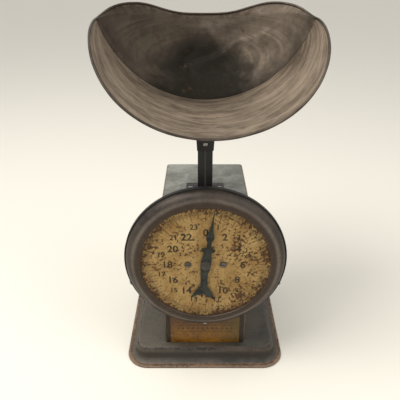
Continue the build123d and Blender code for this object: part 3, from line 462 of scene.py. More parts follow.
# %% Worn enamel
def worn_enamel(name, dark, faded, rust=(0.16, 0.075, 0.035), bare=(0.22, 0.185, 0.155),
                cloud_scale=26.0, contrast=0.13, rust_amount=0.35, spread=0.5, gloss=0.42, use_wear=True):
    """Enamel that has faded in clouds, with rust freckles and bare metal at its rubbed edges."""
    finish = Finish(name)
    clouds = finish.effect("clouds", Scale=cloud_scale, Contrast=contrast)
    fine = finish.effect("clouds", Scale=cloud_scale * 9, Contrast=0.22)
    freckles = finish.effect("freckles", Scale=520.0, Amount=rust_amount)
    colour = finish.mix(clouds, dark, faded)
    colour = finish.veil(colour, darker(dark, 0.55), fine, 0.35)
    colour = finish.veil(colour, rust, freckles, 0.75)
    rough = finish.band(clouds, 0.0, 1.0, gloss, gloss + 0.16)
    height = finish.plus(finish.times(fine, 0.4), finish.times(freckles, -0.5))
    if use_wear:
        rubbed = finish.effect("rubbed", Wear=finish.attribute("wear"), Scale=230.0, Spread=spread)
        colour = finish.mix(rubbed, colour, bare)
        rough = finish.plus(rough, finish.times(rubbed, -0.08))
        height = finish.minus(height, finish.times(rubbed, 0.8))
        finish.set(Metallic=finish.times(rubbed, 0.75))
    finish.set(Base_Color=colour, Roughness=rough)
    finish.shine(0.2)
    finish.bump(height, 0.5, 0.25 * MM)
    return finish.material


def wear_finish(piece, material):
    """Give a new piece its material."""
    piece.data.materials.clear()
    piece.data.materials.append(material)


def paint_node(node, material):
    """Give a CAD node a better material. Its shape stays."""
    piece = nodes[node]
    if not piece.material_slots:
        piece.data.materials.append(material)
    for slot in piece.material_slots:
        slot.material = material

# %% [markdown]
# ## The base
# The base is one stamping: a flat hem on the table, a hollow cove, a round shoulder and a flat top. It
# is the same profile all the way round, so the surface is that profile carried along a rounded
# rectangle. Inside the shoulder the rings simply shrink to the middle.

# %% The base stamping
BASE_CORNER = 28 * MM
BASE_SHEET = 1.2 * MM
SKIN_GAP = 0.1 * MM
SHOULDER_INSET = 13.8 * MM
HEM_HEIGHT = 2.2 * MM


def rounded_rectangle(half_x, half_y, corner, per_corner=14, per_side=10):
    """Points round a rectangle with round corners, and the outward direction at each one.

    Each corner is a quarter circle about its own centre, and each side is straight between them."""
    places, outs = [], []
    centres = np.array([(1, -1), (1, 1), (-1, 1), (-1, -1)]) * (half_x - corner, half_y - corner)
    for centre, following, start in zip(centres, np.roll(centres, -1, 0), (-90, 0, 90, 180)):
        turn = np.radians(start + np.linspace(0, 90, per_corner))
        out = np.stack([np.cos(turn), np.sin(turn)], -1)
        places.append(centre + corner * out)
        outs.append(out)
        # the straight side that follows, without its end points
        share = np.linspace(0, 1, per_side + 2)[1:-1, None]
        begin, end = centre + corner * out[-1], following + corner * out[-1]
        places.append(begin + (end - begin) * share)
        outs.append(np.repeat(out[-1:], per_side, 0))
    return np.concatenate(places), np.concatenate(outs)


def arc_points(start, middle, end, count):
    """Points along a bend from start to end that leans towards middle (a quadratic curve)."""
    start, middle, end = (np.array(point) for point in (start, middle, end))
    share = np.linspace(0, 1, count)[:, None]
    pull = 2 * middle - 0.5 * (start + end)
    return (1 - share) ** 2 * start + 2 * share * (1 - share) * pull + share**2 * end


def base_profile():
    """Inset from the edge and height, written in millimetres, from the table up to the flat top."""
    hem = [(0.5, 0), (0.1, 0.35), (0, 1.2), (0.1, 2), (0.55, 2.35), (1.4, 2.4), (3.2, 2.3), (4.6, 2.35)]
    cove = arc_points((5.2, 2.5), (9.3, 6.4), (11.0, 12.2), 10)
    shoulder = arc_points((11.1, 12.8), (12.6, 19.6), (16.2, 21.9), 12)
    top = [(17.0, 22.0), (18.2, 22.0)]
    return np.concatenate([hem, cove, shoulder, top]) * MM


def inside_profile():
    """Inset and height of the hollow underneath, from its roof down to the table."""
    return np.array([(17.0, 20.8), (13.5, 16.0), (12.2, 12.2), (10.0, 4.6), (6.4, 1.2), (6.2, 0.0)]) * MM


def make_base():
    """The whole stamping as one closed skin: out and over, in to the middle, and back underneath."""
    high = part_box("base")[1]
    edge, out = rounded_rectangle(high.x - SKIN_GAP, high.y - SKIN_GAP, BASE_CORNER)
    rings, wear = [], []

    def add_ring(points, height, rubbed):
        rings.append(np.column_stack([points, np.full(len(edge), height)]))
        wear.append(np.full(len(edge), rubbed))

    for inset, height in base_profile():
        shoulder = gauss(inset - SHOULDER_INSET, 2.2 * MM) * 0.62
        hem = gauss(height - HEM_HEIGHT, 1.2 * MM) * gauss(inset - 1 * MM, 3.5 * MM) * 0.75
        add_ring(edge - out * inset, height, shoulder + hem + 0.05)
    flat, top = rings[-1][:, :2], height
    for share in (0.8, 0.6, 0.4, 0.2, 0.0):
        add_ring(flat * share, top, 0.10)
    for share in (0.0, 0.5):
        add_ring(flat * share, top - BASE_SHEET, 0.0)
    for inset, height in inside_profile():
        add_ring(edge - out * inset, height, 0.0)
    grid, wear = np.array(rings), np.array(wear)
    x, y, z = np.moveaxis(grid.copy(), -1, 0)
    wear += 0.12 * ripple(x, y, z, 0.05, 3)
    # a few soft knocks from the cove up to the flat top
    shoulder = smoothstep(4 * MM, 12 * MM, z) * smoothstep(22.5 * MM, 21.5 * MM, z)
    grid[..., 2] += shoulder * 0.25 * MM * ripple(x, y, z, 0.045, 5)
    base = surface("base_stamping", grid, wrap_rows=True, wrap_cols=True, wear=wear)
    outward(base)
    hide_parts("base")
    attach(base, "stand")
    return base


# heights on the base where one colour gives way to the next
HEM_FADES = (2.6 * MM, 3.6 * MM)
COVE_BETWEEN = (4 * MM, 10 * MM, 14 * MM, 20.5 * MM)
SHOULDER_BETWEEN = (16.5 * MM, 19 * MM, 21.2 * MM, 21.9 * MM)
TOP_STARTS = (21.6 * MM, 21.9 * MM)


def base_finish():
    """Faded black on the flat top, paler to the left, dark brown in the cove, rubbed brown hem, and a paler
    painted highlight along the edge of the flat top.
    """
    finish = Finish("base_enamel")
    height = finish.axis("Z")
    clouds = finish.effect("clouds", Scale=22.0, Contrast=0.13)
    fine = finish.effect("clouds", Scale=210.0, Contrast=0.22)
    freckles = finish.effect("freckles", Scale=480.0, Amount=0.44)
    colour = finish.mix(clouds, (0.030, 0.029, 0.024), (0.074, 0.068, 0.055))
    left = finish.band(finish.axis("X"), -95 * MM, 60 * MM, 0.75, 0.0)
    colour = finish.mix(left, colour, (0.105, 0.094, 0.072))
    cove = finish.between(height, *COVE_BETWEEN)
    colour = finish.veil(colour, (0.018, 0.012, 0.008), cove, 0.8)
    shoulder = finish.between(height, *SHOULDER_BETWEEN)
    brown = finish.mix(clouds, (0.040, 0.026, 0.017), (0.085, 0.058, 0.038))
    colour = finish.veil(colour, brown, shoulder, 0.7)
    hem = finish.fade(height, *HEM_FADES)
    worn_brown = finish.mix(fine, (0.175, 0.105, 0.060), (0.070, 0.042, 0.026))
    colour = finish.veil(colour, worn_brown, hem, 0.85)
    colour = finish.veil(colour, (0.020, 0.016, 0.012), fine, 0.35)
    colour = finish.veil(colour, (0.085, 0.040, 0.020), freckles, 0.7)
    rubbed = finish.effect("rubbed", Wear=finish.attribute("wear"), Scale=230.0, Spread=0.40)
    # painted highlight: a paler line along the edge of the flat top, laid where the stored wear value is
    # high
    edge = finish.times(finish.band(height, *TOP_STARTS), finish.attribute("wear"))
    colour = finish.mix(edge, colour, (0.150, 0.105, 0.072))
    # the enamel still holds as black flakes under the front edge, and the hem is rubbed to bare brown
    bare = finish.mix(finish.band(height, 6 * MM, 12 * MM), (0.21, 0.145, 0.095), (0.006, 0.006, 0.006))
    colour = finish.veil(colour, bare, rubbed, 0.75)
    finish.set(Base_Color=colour, Roughness=finish.band(clouds, 0.0, 1.0, 0.36, 0.52))
    finish.shine(0.3)
    finish.bump(finish.minus(fine, finish.plus(freckles, rubbed)), 0.45, 0.25 * MM)
    return finish.material


base = make_base()
wear_finish(base, base_finish())
print("base:", len(base.data.polygons), "faces")

# %% [markdown]
# ## The case
# The case keeps its CAD shape: a plain bent-steel box. Its finish does the work. The top is grey-green
# where the black has faded, the sides are much darker and the front is black, with brown showing at the
# corners. The wear here is worked out from the distance to the box's own edges, which come from the
# frame.

# %% Case enamel
def near_edges(finish, low, high, width):
    """1 on the vertical corners and top edges of a box and 0 a little way off, worked out from place."""
    x, y, z = (finish.axis(letter) for letter in "XYZ")
    middle = (low + high) / 2
    half = (high - low) / 2
    side_x = finish.minus(half.x, finish.size_of(finish.minus(x, middle.x)))
    side_y = finish.minus(half.y, finish.size_of(finish.minus(y, middle.y)))
    below = finish.minus(high.z, z)
    near_x, near_y, near_z = (finish.fade(inset, 0.0, width) for inset in (side_x, side_y, below))
    pairs = ((near_x, near_y), (near_x, near_z), (near_y, near_z))
    corner, top_x, top_y = (finish.times(*pair) for pair in pairs)
    return finish.maths("MAXIMUM", finish.maths("MAXIMUM", corner, top_x), top_y)


def case_enamel():
    """Faded grey-green on the top, dark on the sides, black on the front, rubbed along the box's edges."""
    finish = Finish("case_enamel")
    low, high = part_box("case_shell")
    clouds = finish.effect("clouds", Scale=24.0, Contrast=0.16)
    fine = finish.effect("clouds", Scale=230.0, Contrast=0.2)
    freckles = finish.effect("freckles", Scale=430.0, Amount=0.34)
    faded = finish.mix(clouds, (0.17, 0.175, 0.150), (0.40, 0.395, 0.345))
    sides = finish.band(finish.axis("Z"), high.z - 4 * MM, high.z - 1 * MM, 0.75, 0.0)
    faded = finish.mix(sides, faded, finish.mix(clouds, (0.035, 0.033, 0.028), (0.085, 0.082, 0.070)))
    front = finish.fade(finish.axis("Y"), low.y + 4 * MM, low.y + 6 * MM)
    colour = finish.mix(front, faded, (0.022, 0.014, 0.008))
    colour = finish.veil(colour, (0.035, 0.030, 0.022), fine, 0.25)
    colour = finish.veil(colour, (0.09, 0.05, 0.028), freckles, 0.6)
    rubbed = finish.effect("rubbed", Wear=near_edges(finish, low, high, 4.5 * MM), Scale=260.0, Spread=0.58)
    colour = finish.veil(colour, (0.13, 0.085, 0.055), rubbed, 0.55)
    finish.set(Base_Color=colour, Roughness=finish.band(clouds, 0.0, 1.0, 0.36, 0.52))
    finish.shine(0.25)
    height = finish.minus(finish.times(fine, 0.4), finish.times(rubbed, 0.8))
    finish.bump(height, 0.45, 0.2 * MM)
    return finish.material


case_material = case_enamel()
for node in ("case_shell", "back_cover"):
    paint_node(node, case_material)
print("case enamel on the shell and the back cover")

# %% [markdown]
# ## The varnished band
# Low on the front is a band of amber varnish over gold, which once carried words. Here it has only two
# ruled lines and two rows of small lozenges, drawn by the material from the place on the band.

# %% The varnished band
LOZENGE_PITCH = 6.2 * MM
LOZENGE_ROWS = ((0.56, 0.055), (0.80, 0.035))
RULED_LINES = (0.44, 0.68)


def band_varnish():
    """Amber varnish with two ruled lines and two rows of lozenges, browned and chipped with age."""
    finish = Finish("band_varnish", roughness=0.3)
    low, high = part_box("name_band")
    width, height = high.x - low.x, high.z - low.z
    x = finish.maths("DIVIDE", finish.minus(finish.axis("X"), (low.x + high.x) / 2), width / 2)
    z = finish.maths("DIVIDE", finish.minus(finish.axis("Z"), low.z), height)
    clouds = finish.effect("clouds", Scale=38.0, Contrast=0.17)
    fine = finish.effect("clouds", Scale=260.0, Contrast=0.2)
    freckles = finish.effect("freckles", Scale=460.0, Amount=0.46)
    amber = finish.mix(clouds, (0.12, 0.045, 0.004), (0.24, 0.105, 0.008))
    # darker towards the top of the band, just under the dial, and greener and darker towards its right end
    amber = finish.mix(finish.band(z, 0.35, 0.9, 0.0, 0.6), amber, (0.055, 0.022, 0.005))
    amber = finish.mix(finish.band(x, 0.1, 1.1, 0.0, 0.6), amber, (0.075, 0.060, 0.010))
    # lozenges: how far along the row and how far off its line, added up
    along = finish.times(finish.axis("X"), 1 / LOZENGE_PITCH)
    along = finish.size_of(finish.minus(finish.maths("FRACT", along), 0.5))
    ink = None
    for line, reach in LOZENGE_ROWS:
        off = finish.maths("DIVIDE", finish.size_of(finish.minus(z, line)), reach)
        shape = finish.plus(off, finish.times(along, 2.4))
        row = finish.fade(shape, 0.75, 0.95)
        ink = row if ink is None else finish.maths("MAXIMUM", ink, row)
    for line in RULED_LINES:
        off = finish.size_of(finish.minus(z, line))
        ink = finish.maths("MAXIMUM", ink, finish.fade(off, 0.006, 0.012))
    edge = finish.fade(finish.size_of(x), 0.80, 0.84)
    ink = finish.times(finish.times(ink, edge), 0.7)
    colour = finish.mix(ink, amber, (0.018, 0.009, 0.004))
    colour = finish.veil(colour, (0.045, 0.020, 0.005), fine, 0.4)
    colour = finish.mix(freckles, colour, (0.016, 0.009, 0.005))
    finish.set(Base_Color=colour, Roughness=finish.band(clouds, 0.0, 1.0, 0.26, 0.42))
    finish.bump(finish.minus(fine, freckles), 0.35, 0.2 * MM)
    finish.shine(0.25)
    finish.set(Coat_Weight=0.15, Coat_Roughness=0.25)
    return finish.material


paint_node("name_band", band_varnish())
print("band varnished")

# %% [markdown]
# ## Smooth curves from a few points
# The rim of the scoop's back sheet and the crease in it are smooth curves through a few chosen points.
# The helper solves for a natural cubic spline: each span is a cubic, the slopes and bends agree where
# spans meet, and the two ends are left free to run straight.

# %% A smooth curve through a few points
def smooth_curve(points, count):
    """count points on a natural cubic spline through the given points, spaced by chord length."""
    points = np.asarray(points, float)
    knots = np.concatenate([[0], np.cumsum(np.linalg.norm(np.diff(points, axis=0), axis=1))])
    gap = np.diff(knots)
    size = len(points)
    system, right = np.eye(size), np.zeros_like(points)
    for i in range(1, size - 1):
        system[i, i - 1:i + 2] = gap[i - 1], 2 * (gap[i - 1] + gap[i]), gap[i]
        right[i] = 6 * ((points[i + 1] - points[i]) / gap[i] - (points[i] - points[i - 1]) / gap[i - 1])
    bend = np.linalg.solve(system, right)
    where = np.linspace(0, knots[-1], count)
    span = np.clip(np.searchsorted(knots, where, side="right") - 1, 0, size - 2)
    h = gap[span][:, None]
    a = (knots[span + 1] - where)[:, None]
    b = (where - knots[span])[:, None]
    curve = (bend[span] * a**3 + bend[span + 1] * b**3) / (6 * h)
    curve += (points[span] / h - bend[span] * h / 6) * a
    curve += (points[span + 1] / h - bend[span + 1] * h / 6) * b
    return curve

# %% [markdown]
# ## The dial's bezel
# The bezel is a broad ring spun from sheet: a skirt towards the pan, a crown like a quarter of an oval,
# and a lip turned in on to the dial. A lathe shape is one profile turned round an axis, so we list the
# profile once, outside and inside, and turn it. A slow ripple in the crown shows that it was worked
# over a former by hand.

# %% The bezel
dial_low, dial_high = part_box("dial_plate")
bezel_low, bezel_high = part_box("bezel")
DIAL_Z = (dial_low.z + dial_high.z) / 2
BEZEL_RADIUS = (bezel_high.x - bezel_low.x) / 2
SIGHT_RADIUS = (dial_high.x - dial_low.x) / 2 - 4 * MM
BEZEL_RISE = 12 * MM
BEZEL_SHEET = 0.9 * MM


def turned_about_y(profile, steps, centre_z):
    """Carry (radius, y) points once round a line along Y. Columns go round and rows follow the profile."""
    turn = np.linspace(0, 2 * np.pi, steps, endpoint=False)
    radius = profile[:, 0][:, None]
    x = radius * np.sin(turn)
    z = centre_z + radius * np.cos(turn)
    y = np.repeat(profile[:, 1][:, None], steps, 1)
    return np.stack([x, y, z], -1)


def bezel_profile(rim, front, sight, dial_y, skirt):
    """Outside of the ring from skirt to lip, then the inside back again, as (radius, y)."""
    crown = sight + 2.4 * MM
    turn = np.linspace(0, np.pi / 2, 18)

    def crown_arc(inset):
        across = rim - crown - inset * 0.6
        up = BEZEL_RISE - inset
        return np.column_stack([crown + across * np.cos(turn), front + BEZEL_RISE - up * np.sin(turn)])

    lip = arc_points((crown - 0.2 * MM, front + 0.02 * MM), (sight + 0.5 * MM, front + 0.5 * MM),
                     (sight, front + 2.2 * MM), 6)
    outside = np.concatenate([[(rim, skirt)], crown_arc(0), lip, [(sight, dial_y - 0.02 * MM)]])
    inner_lip = lip[::-1] + np.array([BEZEL_SHEET * 0.85, BEZEL_SHEET * 0.5])
    inner_crown = crown_arc(BEZEL_SHEET)[::-1]
    inside = np.concatenate([[(sight + BEZEL_SHEET, dial_y - 0.02 * MM)], inner_lip, inner_crown,
                             [(rim - BEZEL_SHEET, skirt)]])
    return np.concatenate([outside, inside]), len(outside)


def make_bezel():
    """The profile turned round the shaft's line, with a ripple that pushes the crown in a little."""
    profile, outer = bezel_profile(BEZEL_RADIUS, bezel_low.y, SIGHT_RADIUS, dial_low.y, bezel_high.y)
    grid = turned_about_y(profile, steps=288, centre_z=DIAL_Z)
    x, y, z = grid[..., 0], grid[..., 1], grid[..., 2]
    radius = np.hypot(x, z - DIAL_Z)
    # worked crown: a slow unevenness that only pushes in, none at the skirt or the lip
    crown = smoothstep(SIGHT_RADIUS + 1 * MM, SIGHT_RADIUS + 6 * MM, radius)
    crown = crown * smoothstep(bezel_low.y + BEZEL_RISE, bezel_low.y + BEZEL_RISE * 0.6, y)
    grid[..., 1] += crown * 0.28 * MM * (1 + ripple(x, 0 * y, z, 0.03, 21))
    # the stored wear on the bezel marks a painted highlight along the crown and a paler line at the lip, not
    # rubbing
    wear = 0.8 * gauss(radius - (SIGHT_RADIUS + 9 * MM), 2.6 * MM)
    wear = wear + 0.5 * gauss(radius - SIGHT_RADIUS, 1 * MM)
    wear = wear * (1 + 0.25 * ripple(x, y, z, 0.06, 22))
    wear[outer:] = 0
    bezel = outward(surface("bezel_ring", grid, wrap_rows=True, wrap_cols=True, wear=wear))
    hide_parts("bezel")
    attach(bezel, "stand")
    return bezel


def bezel_steel():
    """Old tinned steel gone brown-grey: darker and browner inside the crown, partly its own colour and
    partly painted shade, and paler along the crown and at the lip, a painted highlight.
    """
    finish = Finish("bezel_steel", metallic=0.55)
    x, z = finish.axis("X"), finish.minus(finish.axis("Z"), DIAL_Z)
    radius = finish.distance(x, z)
    clouds = finish.effect("clouds", Scale=30.0, Contrast=0.16)
    fine = finish.effect("clouds", Scale=300.0, Contrast=0.2)
    # painted shade: the inner slope of the crown, which faces in towards the dial, is darker and browner,
    # partly its own brown
    inner = finish.fade(radius, SIGHT_RADIUS + 4 * MM, SIGHT_RADIUS + 11 * MM)
    colour = finish.mix(clouds, (0.038, 0.032, 0.027), (0.082, 0.066, 0.053))
    colour = finish.veil(colour, (0.050, 0.031, 0.020), inner, 0.7)
    # painted highlight: paler along the crown and at the lip, where the stored wear value is high
    crown = finish.band(finish.attribute("wear"), 0.1, 1.0)
    colour = finish.veil(colour, (0.20, 0.165, 0.135), crown, 0.65)
    colour = finish.veil(colour, (0.022, 0.014, 0.010), fine, 0.35)
    rust = finish.effect("freckles", Scale=330.0, Amount=0.40)
    colour = finish.veil(colour, (0.060, 0.028, 0.014), rust, 0.6)
    finish.set(Base_Color=colour, Roughness=finish.band(clouds, 0.0, 1.0, 0.38, 0.55))
    finish.shine(0.3)
    finish.bump(finish.plus(fine, rust), 0.4, 0.2 * MM)
    return finish.material


bezel = make_bezel()
wear_finish(bezel, bezel_steel())
print("bezel:", len(bezel.data.polygons), "faces, radius", round(BEZEL_RADIUS * 1000, 1), "mm")

# %% [markdown]
# ## The dial plate
# The plate is a flat tin disc painted cream, which has gone a deep yellow and is peppered with rust.
# It is a ring of sheet round the hole for the hub. The rust is strongest near the rim and to the right,
# so the material adds two broad masks to the freckles.

# %% The dial plate
HUB_HOLE = 4.5 * MM
SCREW_HEAD = 3.2 * MM
SCREW_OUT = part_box("dial_screws")[1].x - SCREW_HEAD


def make_dial():
    """Two flat rings, front and back, joined at the hole and at the rim. The wear rises to the rim."""
    radius = (dial_high.x - dial_low.x) / 2
    rings = np.linspace(HUB_HOLE, radius, 26)
    front = np.column_stack([rings, np.full(len(rings), dial_low.y)])
    back = np.column_stack([rings[::-1], np.full(len(rings), dial_high.y)])
    grid = turned_about_y(np.concatenate([front, back]), steps=192, centre_z=DIAL_Z)
    wear = smoothstep(SIGHT_RADIUS - 9 * MM, SIGHT_RADIUS, np.hypot(grid[..., 0], grid[..., 2] - DIAL_Z))
    dial = outward(surface("dial_face", grid, wrap_rows=True, wrap_cols=True, wear=wear, smooth=False))
    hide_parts("dial_plate")
    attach(dial, "stand")
    return dial


def dial_colours(finish):
    """The aged paint of the dial: yellow clouds, brown staining and clusters of rust specks."""
    clouds = finish.effect("clouds", Scale=34.0, Contrast=0.15)
    colour = finish.mix(clouds, (0.245, 0.138, 0.036), (0.440, 0.300, 0.112))
    stain = finish.effect("clouds", Scale=17.0, Contrast=0.10)
    colour = finish.veil(colour, (0.17, 0.075, 0.018), stain, 0.30)
    fine = finish.effect("clouds", Scale=420.0, Contrast=0.16)
    colour = finish.veil(colour, (0.115, 0.058, 0.016), fine, 0.42)
    right = finish.band(finish.axis("X"), -0.3 * SIGHT_RADIUS, SIGHT_RADIUS, 0.0, 0.14)
    rim = finish.times(finish.attribute("wear"), 0.35)
    more = finish.plus(finish.plus(right, rim), 0.66)
    specks = finish.effect("freckles", Scale=300.0, Amount=more)
    colour = finish.veil(colour, (0.038, 0.018, 0.007), specks, 0.88)
    coarse = finish.effect("freckles", Scale=150.0, Amount=finish.minus(more, 0.12))
    colour = finish.veil(colour, (0.075, 0.030, 0.012), coarse, 0.75)
    # a dark ring of rust round each screw head
    out = finish.minus(finish.size_of(finish.axis("X")), SCREW_OUT)
    up = finish.minus(finish.axis("Z"), DIAL_Z)
    reach = finish.plus(finish.distance(out, up), finish.times(fine, 1.2 * MM))
    ring = finish.fade(reach, SCREW_HEAD + 0.4 * MM, SCREW_HEAD + 3 * MM)
    colour = finish.veil(colour, (0.030, 0.014, 0.006), ring, 0.85)
    return colour, finish.plus(specks, coarse)


def dial_paint():
    """The dial's paint, duller and rougher where it has rusted."""
    finish = Finish("dial_paint")
    colour, rust = dial_colours(finish)
    finish.set(Base_Color=colour, Roughness=finish.band(rust, 0.0, 1.0, 0.42, 0.75))
    finish.shine(0.25)
    finish.bump(rust, 0.5, 0.15 * MM)
    return finish.material


def dial_ink():
    """Black print, worn through to the paint in places."""
    finish = Finish("dial_ink")
    colour, rust = dial_colours(finish)
    worn = finish.effect("clouds", Scale=240.0, Contrast=0.14)
    ink = finish.mix(rust, (0.012, 0.009, 0.006), (0.024, 0.012, 0.006))
    finish.set(Base_Color=finish.mix(finish.times(worn, 0.25), ink, colour))
    finish.shine(0.2)
    return finish.material


dial = make_dial()
wear_finish(dial, dial_paint())
ink_material = dial_ink()
print("dial plate:", len(dial.data.polygons), "faces")

# %% [markdown]
# ## The printed marks
# Twenty-four pounds go round the dial, and each pound has sixteen ounces. The marks are printed, so
# they are very thin pieces that stand 0.05 mm off the plate. All 384 strokes are worked out at once:
# the length depends only on whether a stroke is a pound, a half, a quarter or an ounce. The numbers
# are upright, the odd ones on an outer ring and the even ones further in, so that they fit.

# %% Strokes and beads
POUNDS = 24
OUNCES = 16
PRINT_LIFT = 0.05 * MM
FACE_Y = dial_low.y


def flat_piece(name, corners, material):
    """Thin printed shapes. corners is (shapes, points, 2) in x and height on the dial, clockwise or not."""
    shapes, points = corners.shape[:2]
    level = np.full((shapes, points), FACE_Y - PRINT_LIFT)
    front = np.stack([corners[..., 0], level, corners[..., 1] + DIAL_Z], -1)
    back = front + np.array([0, PRINT_LIFT * 0.9, 0])
    verts = np.concatenate([front, back], 1).reshape(-1, 3)
    start = np.arange(shapes)[:, None] * points * 2
    ring = np.arange(points)
    after = np.roll(ring, -1)
    caps = [(start + ring).tolist(), (start + points + ring[::-1]).tolist()]
    sides = np.stack([ring, after, after + points, ring + points], -1)[None] + start[..., None]
    mesh = bpy.data.meshes.new(name)
    mesh.from_pydata(verts.tolist(), [], caps[0] + caps[1] + sides.reshape(-1, 4).tolist())
    piece = outward(put_in_scene(name, mesh))
    wear_finish(piece, material)
    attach(piece, "stand")
    return piece


def make_strokes():
    """One slim four-cornered stroke for every ounce, longer for quarters, halves and pounds."""
    ounce = np.arange(POUNDS * OUNCES)
    turn = 2 * np.pi * ounce / len(ounce)
    pound, half, quarter = (ounce % (OUNCES // part) == 0 for part in (1, 2, 4))
    inner = np.select([pound, half, quarter], [0.765, 0.815, 0.845], 0.875)
    half_width = np.select([pound, half], [0.30, 0.24], 0.15) * MM
    out = np.stack([np.sin(turn), np.cos(turn)], -1)
    side = np.stack([np.cos(turn), -np.sin(turn)], -1) * half_width[:, None]
    near, far = out * (inner * SIGHT_RADIUS)[:, None], out * 0.955 * SIGHT_RADIUS
    return np.stack([near - side, far - side, far + side, near + side], 1)


def make_beads(count, at, size):
    """A ring of small six-sided dots."""
    turn = 2 * np.pi * (np.arange(count) + 0.5) / count
    middle = np.stack([np.sin(turn), np.cos(turn)], -1) * at * SIGHT_RADIUS
    corner = 2 * np.pi * np.arange(6) / 6
    dot = np.stack([np.sin(corner), np.cos(corner)], -1) * size
    return middle[:, None] + dot[None]


flat_piece("dial_strokes", make_strokes(), ink_material)
flat_piece("dial_beads", make_beads(count=144, at=0.978, size=0.55 * MM), ink_material)
print("strokes:", POUNDS * OUNCES)

# %% Numbers
EVEN_NUMBERS = {"size": 12.4 * MM, "bolder": 0.34 * MM, "reach": 0.575 * SIGHT_RADIUS}
ODD_NUMBERS = {"size": 9.4 * MM, "bolder": 0.22 * MM, "reach": 0.695 * SIGHT_RADIUS}


def number_piece(value):
    """One number as a thin mesh, upright on the dial at its own angle."""
    style = ODD_NUMBERS if value % 2 else EVEN_NUMBERS
    turn = 2 * math.pi * value / POUNDS
    data = bpy.data.curves.new(f"number_{value:02d}", "FONT")
    data.body = str(value)
    data.size = style["size"]
    data.extrude = PRINT_LIFT / 2
    data.offset = style["bolder"]
    data.align_x = "CENTER"
    data.align_y = "CENTER"
    text = bpy.data.objects.new("letters", data)
    mesh = bpy.data.meshes.new_from_object(text)
    bpy.data.objects.remove(text)
    flat = np.empty(len(mesh.vertices) * 3)
    mesh.vertices.foreach_get("co", flat)
    flat = flat.reshape(-1, 3)
    flat[:, :2] -= (flat[:, :2].max(0) + flat[:, :2].min(0)) / 2
    across = flat[:, 0] + style["reach"] * math.sin(turn)
    up = flat[:, 1] + DIAL_Z + style["reach"] * math.cos(turn)
    place = np.column_stack([across, FACE_Y - flat[:, 2] - PRINT_LIFT / 2, up])
    mesh.vertices.foreach_set("co", place.ravel())
    tidy_mesh(mesh)
    piece = outward(put_in_scene(f"number_{value:02d}", mesh))
    wear_finish(piece, ink_material)
    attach(piece, "stand")
    return piece


numbers = [number_piece(value) for value in range(POUNDS)]
print("numbers:", len(numbers))

# %% [markdown]
# ## The pointer
# The pointer is stamped from thin steel with a crease down the middle, so one half catches the light
# and the other doesn't. Its outline is a half-width for each distance along it. The crescent at the
# tail is made by bending the rows of the grid: points further from the middle lie further back.

# %% The pointer
POINTER_REST = math.radians(7.5)
POINTER_SHEET = 0.45
CREASE_DEPTH = 0.9
TAIL_BEND = 5.6
COLUMNS = 17
pointer_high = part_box("pointer")[1]
# half-width and distance from the shaft, in millimetres, from the tip to the end of the tail
POINTER_EDGE = np.array([
    (0.25, 70.7), (0.7, 63), (1.25, 55), (2.4, 46.5), (4.5, 38), (4.2, 35.6), (2.5, 32), (2.4, 24.6),
    (7.7, 23.2), (8.0, 21.6), (7.4, 20.2), (4.4, 18.2), (4.7, 14), (5.6, 8), (5.9, 0), (5.4, -5),
    (4.2, -9.5), (3.9, -20), (4.3, -28), (7.6, -32), (11.2, -35.5), (13.9, -39.2), (12.6, -40.4)])


def pointer_grid():
    """Rows follow the length and columns go across. A crease runs down the middle, below both edges."""
    width, place = POINTER_EDGE[:, 0], POINTER_EDGE[:, 1]
    along = np.unique(np.concatenate([np.linspace(place[-1], place[0], 150), place]))[::-1]
    half = np.interp(-along, -place, width)
    across = np.linspace(-1, 1, COLUMNS)
    sag = TAIL_BEND * smoothstep(-29, place[-1], along)
    s = along[:, None] - sag[:, None] * across**2
    w = half[:, None] * across
    w = w + 2.8 * smoothstep(-8, -40, s)
    crease = CREASE_DEPTH * np.minimum(half, 4.5)[:, None] / 4.5 * np.abs(across)
    hub = smoothstep(9, 5.5, np.hypot(w, s))
    front = pointer_high.y * 1000 - 0.6 - crease * (1 - hub)
    back = front + POINTER_SHEET
    return w, s, front, back


def on_dial(w, s, depth, turn):
    """Points given across and along the pointer, in millimetres, turned to their place on the dial."""
    x = w * math.cos(turn) + s * math.sin(turn)
    z = s * math.cos(turn) - w * math.sin(turn)
    return np.stack([x * MM, depth * MM, DIAL_Z + z * MM], -1)


def make_pointer():
    """The creased front and a back a sheet's thickness behind it, closed round the edge and both ends."""
    w, s, front, back = pointer_grid()
    top = on_dial(w, s, front, POINTER_REST)
    under = on_dial(w, s, back, POINTER_REST)
    grid = np.concatenate([top, under[:, ::-1]], 1)
    crease = 0.35 * gauss(np.linspace(-1, 1, COLUMNS), 0.25)
    wear = np.concatenate([np.broadcast_to(crease, w.shape), 0 * w], 1)
    wear = wear + 0.1 * ripple(grid[..., 0], grid[..., 1], grid[..., 2], 0.02, 31)
    pointer = surface("pointer_blade", grid, wrap_cols=True, wear=wear, smooth=False)
    edit_mesh(pointer.data, lambda shape: bmesh.ops.holes_fill(
        shape, edges=[edge for edge in shape.edges if edge.is_boundary]))
    outward(pointer)
    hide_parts("pointer")
    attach(pointer, "pointer")
    return pointer


def make_hub():
    """A stepped disc with a raised middle: radius and depth, turned about the shaft."""
    low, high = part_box("pointer_hub")
    radius = (high.x - low.x) / 2
    back = pointer_high.y - 0.55 * MM
    neck = 3.4 * MM
    face = np.array([(0, 0), (1.0, 0), (2.0, 0.06), (2.5, 0.35), (3.3, 0.45), (5.0, 0.55), (5.8, 0.75)]) * MM
    rest = [(radius, low.y + 1.2 * MM), (radius, back), (neck, back), (neck, high.y), (0, high.y)]
    grid = turned_about_y(np.concatenate([face + (0, low.y), rest]), steps=64, centre_z=DIAL_Z)
    hub = outward(surface("pointer_boss", grid, wrap_cols=True, wear=0.2))
    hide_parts("pointer_hub")
    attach(hub, "pointer")
    return hub


